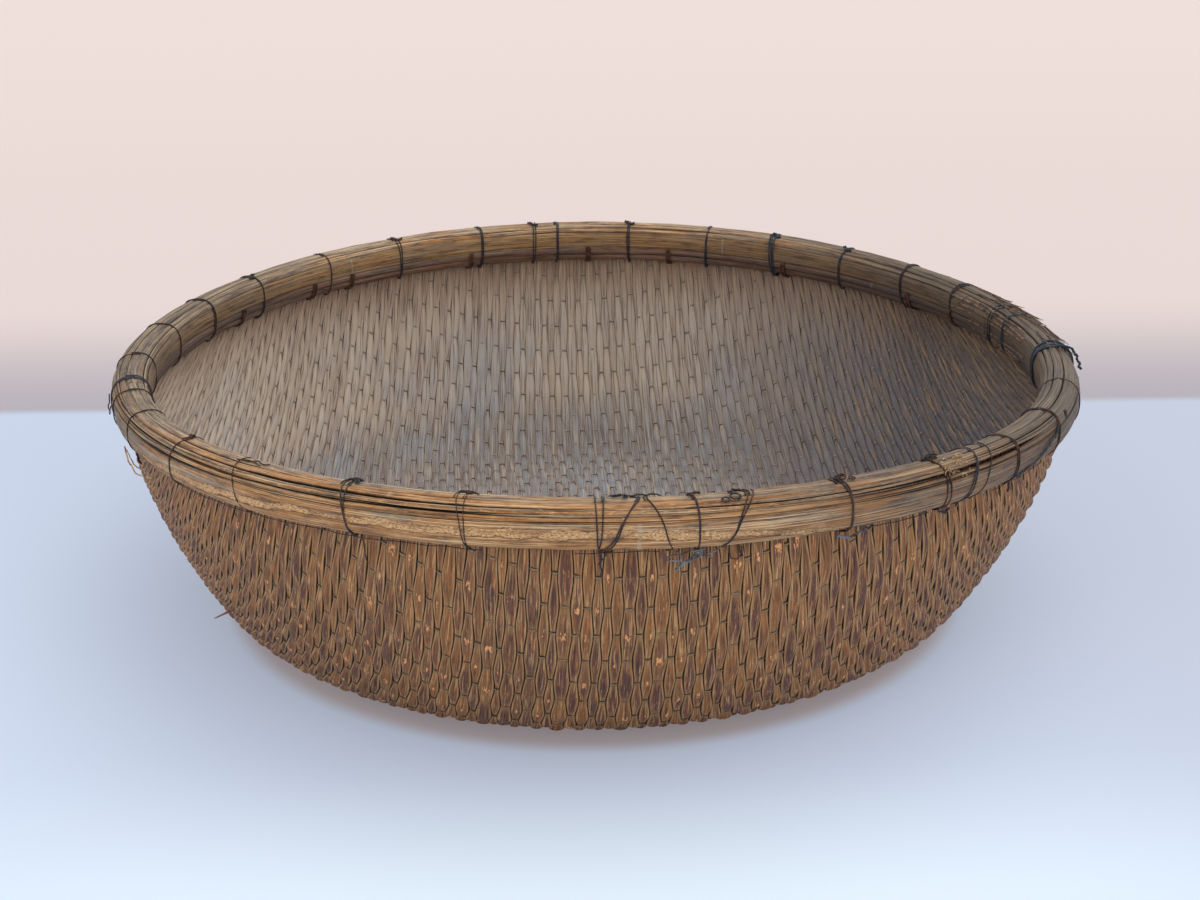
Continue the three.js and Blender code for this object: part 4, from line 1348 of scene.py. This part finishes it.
# %% Splinters on the crown behind the joint, and strands on its inner side
CROWN_SPLINTERS, SPLINTER_STATIONS = 46, 24
INNER_STRANDS, STRAND_STATIONS = 8, 60
splinters = []
rising = np.linspace(0, 1, SPLINTER_STATIONS)
for number in range(CROWN_SPLINTERS):
    start = -1 + 25 * abs(hashed(730, number, 1))
    length = 4 + 5 * abs(hashed(732, number, 3))
    angle = 58 + 46 * hashed(731, number, 2) + 7 * rising * hashed(734, number, 5)
    lift = 0.2 + rising**2 * (0.6 + 2.6 * hashed(733, number, 4) ** 2)
    bearings = np.linspace(start, start - length, SPLINTER_STATIONS)
    path = rim_surface(bearings * DEGREE, angle * DEGREE, lift)
    splinters.append(tube(path, np.linspace(0.55, 0.2, SPLINTER_STATIONS)))
for number in range(INNER_STRANDS):
    start, end = 2.2 + 1.5 * hashed(735, number, 1), 22 + 5 * hashed(736, number, 2)
    wander = 4 * noise(737 + number, np.linspace(0, 2, STRAND_STATIONS))
    lift = -0.45 + 0.5 * noise(750 + number, np.linspace(0, 5, STRAND_STATIONS))
    bearings = np.linspace(start, end, STRAND_STATIONS)
    path = rim_surface(bearings * DEGREE, (136 + 14 * number + wander) * DEGREE, lift)
    splinters.append(tube(path, 0.9 + 0.25 * hashed(738, number, 3)))
tube_piece("joint_splinters", splinters, SPLINTER)
print("splinters:", len(splinters))

# %% The hanging fibre, and a tuft at the right front tie
TUFT_FIBRES, TUFT_BEARING, TUFT_RADIUS = 22, -51.5, 0.24
hanging = (
    (-155.5, 12.6, -12), (-153.8, 13.4, -18), (-151.2, 12.8, -22.5), (-149, 10.6, -21.5),
    (-147.6, 8.5, -20),
)
beside_it = ((-154.6, 12.8, -12.5), (-152.2, 12.5, -17), (-150, 10.2, -19.5))
fibres = [
    tube(drawn(hanging, shake=0.3, seed=720), 0.5),
    tube(drawn(beside_it, shake=0.3, seed=724), 0.4),
]
for number in range(TUFT_FIBRES):
    bearing = TUFT_BEARING + 1.6 * hashed(740, number, 1)
    angle = 52 + 34 * hashed(741, number, 2)
    turn = 2.5 * hashed(742, number, 3)
    knots = ((bearing, angle), (bearing + 0.35 * turn, angle + 5), (bearing + 0.5 * turn, angle - 3))
    path = draped(knots, 0.9, stations=14, shake=0.5, seed=743 + number)
    fibres.append(tube(path, TUFT_RADIUS))
tube_piece("loose_fibres", fibres, FIBRE)

# %% The broken twig and the inner lashings
TWIG_ROOT = np.array([-0.231, -0.1675, 0.0507])
TWIG_TIP = np.array([-0.2415, -0.1695, 0.0463])
TWIG_STATIONS = 12
LASHING_BEARINGS = (24.4, 34, 58, 77.5, 90.5, 109.5, 130, 137, 152)
LASHING_TURNS, LASHING_RADIUS = (-0.26, 0, 0.26), 0.7
share = np.linspace(0, 1, TWIG_STATIONS)[:, None]
twig = tube(TWIG_ROOT * (1 - share) + TWIG_TIP * share, np.linspace(0.9, 0.35, TWIG_STATIONS))
tube_piece("broken_twig", [twig], TWIG)

lashings = []
angle = np.linspace(188, 268, 30)
for bearing in LASHING_BEARINGS:
    for turn in LASHING_TURNS:
        place = bearing + turn + 0.1 * noise(760, bearing + turn, angle / 20)
        path = rim_surface(place * DEGREE, angle * DEGREE, np.full(30, LASHING_RADIUS))
        lashings.append(tube(path, LASHING_RADIUS))
tube_piece("inner_lashings", lashings, LASHING)
print("lashings:", len(lashings))

# %% [markdown]
# A heavier, bluish wire binds the joint with four turns. Its two ends are twisted together into a
# crinkled tail, which stands out over the edge.

# %% The joint's binding
BINDING_BEARING, BINDING_PITCH, BINDING_ADVANCE = -4.4 * DEGREE, 1.5, 2.0
BINDING_RADIUS, TAIL_RADIUS = 0.8, 0.5
BINDING_TURNS = 4
TAIL_KNOTS = (
    (-5.2, 2, 15.8), (-5.2, 8, 15.2), (-5.1, 12.6, 13), (-5.3, 14.4, 9.5), (-5, 16.5, 8.6), (-5.3, 16, 5),
    (-5, 18, 3.4), (-5.4, 17.4, 0.4), (-5.2, 19, -1.4),
)
binding = []
for number in range(BINDING_TURNS):
    place = BINDING_BEARING + (number - (BINDING_TURNS - 1) / 2) * BINDING_PITCH / RIM_RADIUS
    lean = (2.2 * hashed(5, number, 1) + 1) * DEGREE
    path = loop_path(place, lean, 0.02, 1.05, BINDING_ADVANCE, 400 + number, BINDING_RADIUS)
    binding.append(tube(path, BINDING_RADIUS))
tail = drawn(TAIL_KNOTS, 90, 3, shake=0.7, seed=410)
binding += [tube(path, TAIL_RADIUS) for path in twisted(tail, 9, TAIL_RADIUS)]
tube_piece("joint_binding", binding, WIRE, {"blue": 0.95}, ["joint_binding_wire"])
print("binding wires:", len(binding))

# %% [markdown]
# ## Floor, light and camera
#
# The floor is one plain sheet of paper that changes from a cool white to a warm one where the backdrop
# would start. The light is soft and comes from above, a little from the left. The camera is a short
# telephoto, slightly above the rim. A picture could be laid under the basket for the paper, but its
# shadows would be fixed; fading a few tints by place keeps the floor plain and lets the basket throw its
# own shadow. Some of those tints are painted light and shade: a painted contact shadow round the basket,
# painted shade towards the back, on the right and at the foot of the backdrop, and painted light at the
# front.

# %% The floor's finish
FLOOR_GLOW, GLOW_GAIN = 0.35, 1.08
NEAR_PAPER, PAINTED_FRONT_LIGHT, PAINTED_BACK_SHADE, PAINTED_RIGHT_SHADE = (
    (208, 220, 241), (228, 242, 255), (180, 189, 207), (190, 196, 210),
)
CONTACT_SHADE, BEND_SHADE = (192, 182, 186), (176, 170, 178)
WARM_PAPER, FAR_PAPER = (222, 207, 203), (228, 212, 207)


def floor_finish():
    """Paper that gives a third of its colour by itself where it is seen, directly or in something
    shiny. That keeps the object's shadow on it as light as on thin paper on a bright table."""
    finish = Finish("floor_paper", roughness=0.9, specular=0.1)
    across, depth = finish.axis(0), finish.axis(1)
    aside = across.math("ABSOLUTE")
    around = (across * across + depth * depth).math("SQRT")
    # Painted shade at the foot of the backdrop, lightening to warm paper further back.
    far = depth.step(0.36, 0.74).mixed(colour(*BEND_SHADE), colour(*WARM_PAPER))
    far = layered(far, [(depth.step(0.6, 3.0), FAR_PAPER)])
    near = layered(colour(*NEAR_PAPER), (
        # Painted shade towards the back and on the right, and painted light at the front.
        (depth.step(-0.25, 0.3) * 0.5, PAINTED_BACK_SHADE),
        (across.step(0.2, 0.45) * depth.step(-0.6, -0.2) * 0.6, PAINTED_RIGHT_SHADE),
        (depth.step(-0.25, -0.44) * aside.step(0.6, 0.12), PAINTED_FRONT_LIGHT),
        # Painted contact shadow, warm grey, in a ring round the basket's foot.
        (around.step(0.268, 0.25), CONTACT_SHADE),
    ))
    paper = depth.step(0.364, 0.386).mixed(near, far)
    rays = ("Is Camera Ray", "Is Glossy Ray", "Is Transmission Ray")
    camera_ray, glossy_ray, inner_ray = (
        finish.start.node("ShaderNodeLightPath", {}, {}, output=ray) for ray in rays
    )
    seen = camera_ray.math("MAXIMUM", glossy_ray).math("MAXIMUM", inner_ray)
    finish.feed("Base Color", (seen * FLOOR_GLOW).mixed(paper, BLACK))
    finish.feed("Emission Color", seen.mixed(BLACK, paper))
    finish.shader.inputs["Emission Strength"].default_value = FLOOR_GLOW * GLOW_GAIN
    return finish.material


# %% The floor
FLOOR_HALF = 14.0
floor_mesh = bpy.data.meshes.new("floor")
corners = [(x * FLOOR_HALF, y * FLOOR_HALF, 0) for x, y in ((-1, -1), (1, -1), (1, 1), (-1, 1))]
floor_mesh.from_pydata(corners, [], [(0, 1, 2, 3)])
floor_mesh.materials.append(floor_finish())
floor = bpy.data.objects.new("floor", floor_mesh)
bpy.context.scene.collection.objects.link(floor)
print("floor half width:", FLOOR_HALF)

# %% Light
SKY_STRENGTH, SKY_ANGLE, SKY_TURN = 0.9, 70 * DEGREE, (-8 * DEGREE, 20 * DEGREE, 0)
SKY_TINT, ROOM_TINT, ROOM_STRENGTH = (1.0, 0.98, 0.95), (0.97, 0.98, 1.0, 1.0), 0.88
sky_data = bpy.data.lights.new("sky_light", "SUN")
sky_data.energy, sky_data.angle, sky_data.color = SKY_STRENGTH, SKY_ANGLE, SKY_TINT
sky_light = bpy.data.objects.new("sky_light", sky_data)
sky_light.rotation_euler = SKY_TURN
bpy.context.scene.collection.objects.link(sky_light)
world = bpy.data.worlds.new("studio")
bpy.context.scene.world = world
world.use_nodes = True
background = world.node_tree.nodes["Background"]
background.inputs["Color"].default_value = ROOM_TINT
background.inputs["Strength"].default_value = ROOM_STRENGTH

# %% Camera
CAMERA_PLACE = (0.0, -1.2074, 0.5415)
CAMERA_PITCH, CAMERA_YAW, CAMERA_ROLL = 20.309 * DEGREE, 0.264 * DEGREE, -0.597 * DEGREE
CAMERA_LENS, SENSOR_WIDTH = 54.0, 36.0
forward = np.array([
    np.sin(CAMERA_YAW) * np.cos(CAMERA_PITCH),
    np.cos(CAMERA_YAW) * np.cos(CAMERA_PITCH),
    -np.sin(CAMERA_PITCH),
])
level_right = unit(np.cross(forward, [0, 0, 1]))
level_up = np.cross(level_right, forward)
right = np.cos(CAMERA_ROLL) * level_right + np.sin(CAMERA_ROLL) * level_up
upward = np.cos(CAMERA_ROLL) * level_up - np.sin(CAMERA_ROLL) * level_right
turned = np.eye(4)
turned[:3] = np.stack([right, upward, -forward, CAMERA_PLACE], 1)
camera_data = bpy.data.cameras.new("camera")
camera_data.lens, camera_data.sensor_width = CAMERA_LENS, SENSOR_WIDTH
camera = bpy.data.objects.new("camera", camera_data)
camera.matrix_world = turned.T.tolist()
bpy.context.scene.collection.objects.link(camera)
bpy.context.scene.camera = camera
bpy.context.scene.view_settings.view_transform = "Standard"
print("camera at", CAMERA_PLACE)

# %% End of the scene
print("scene built")
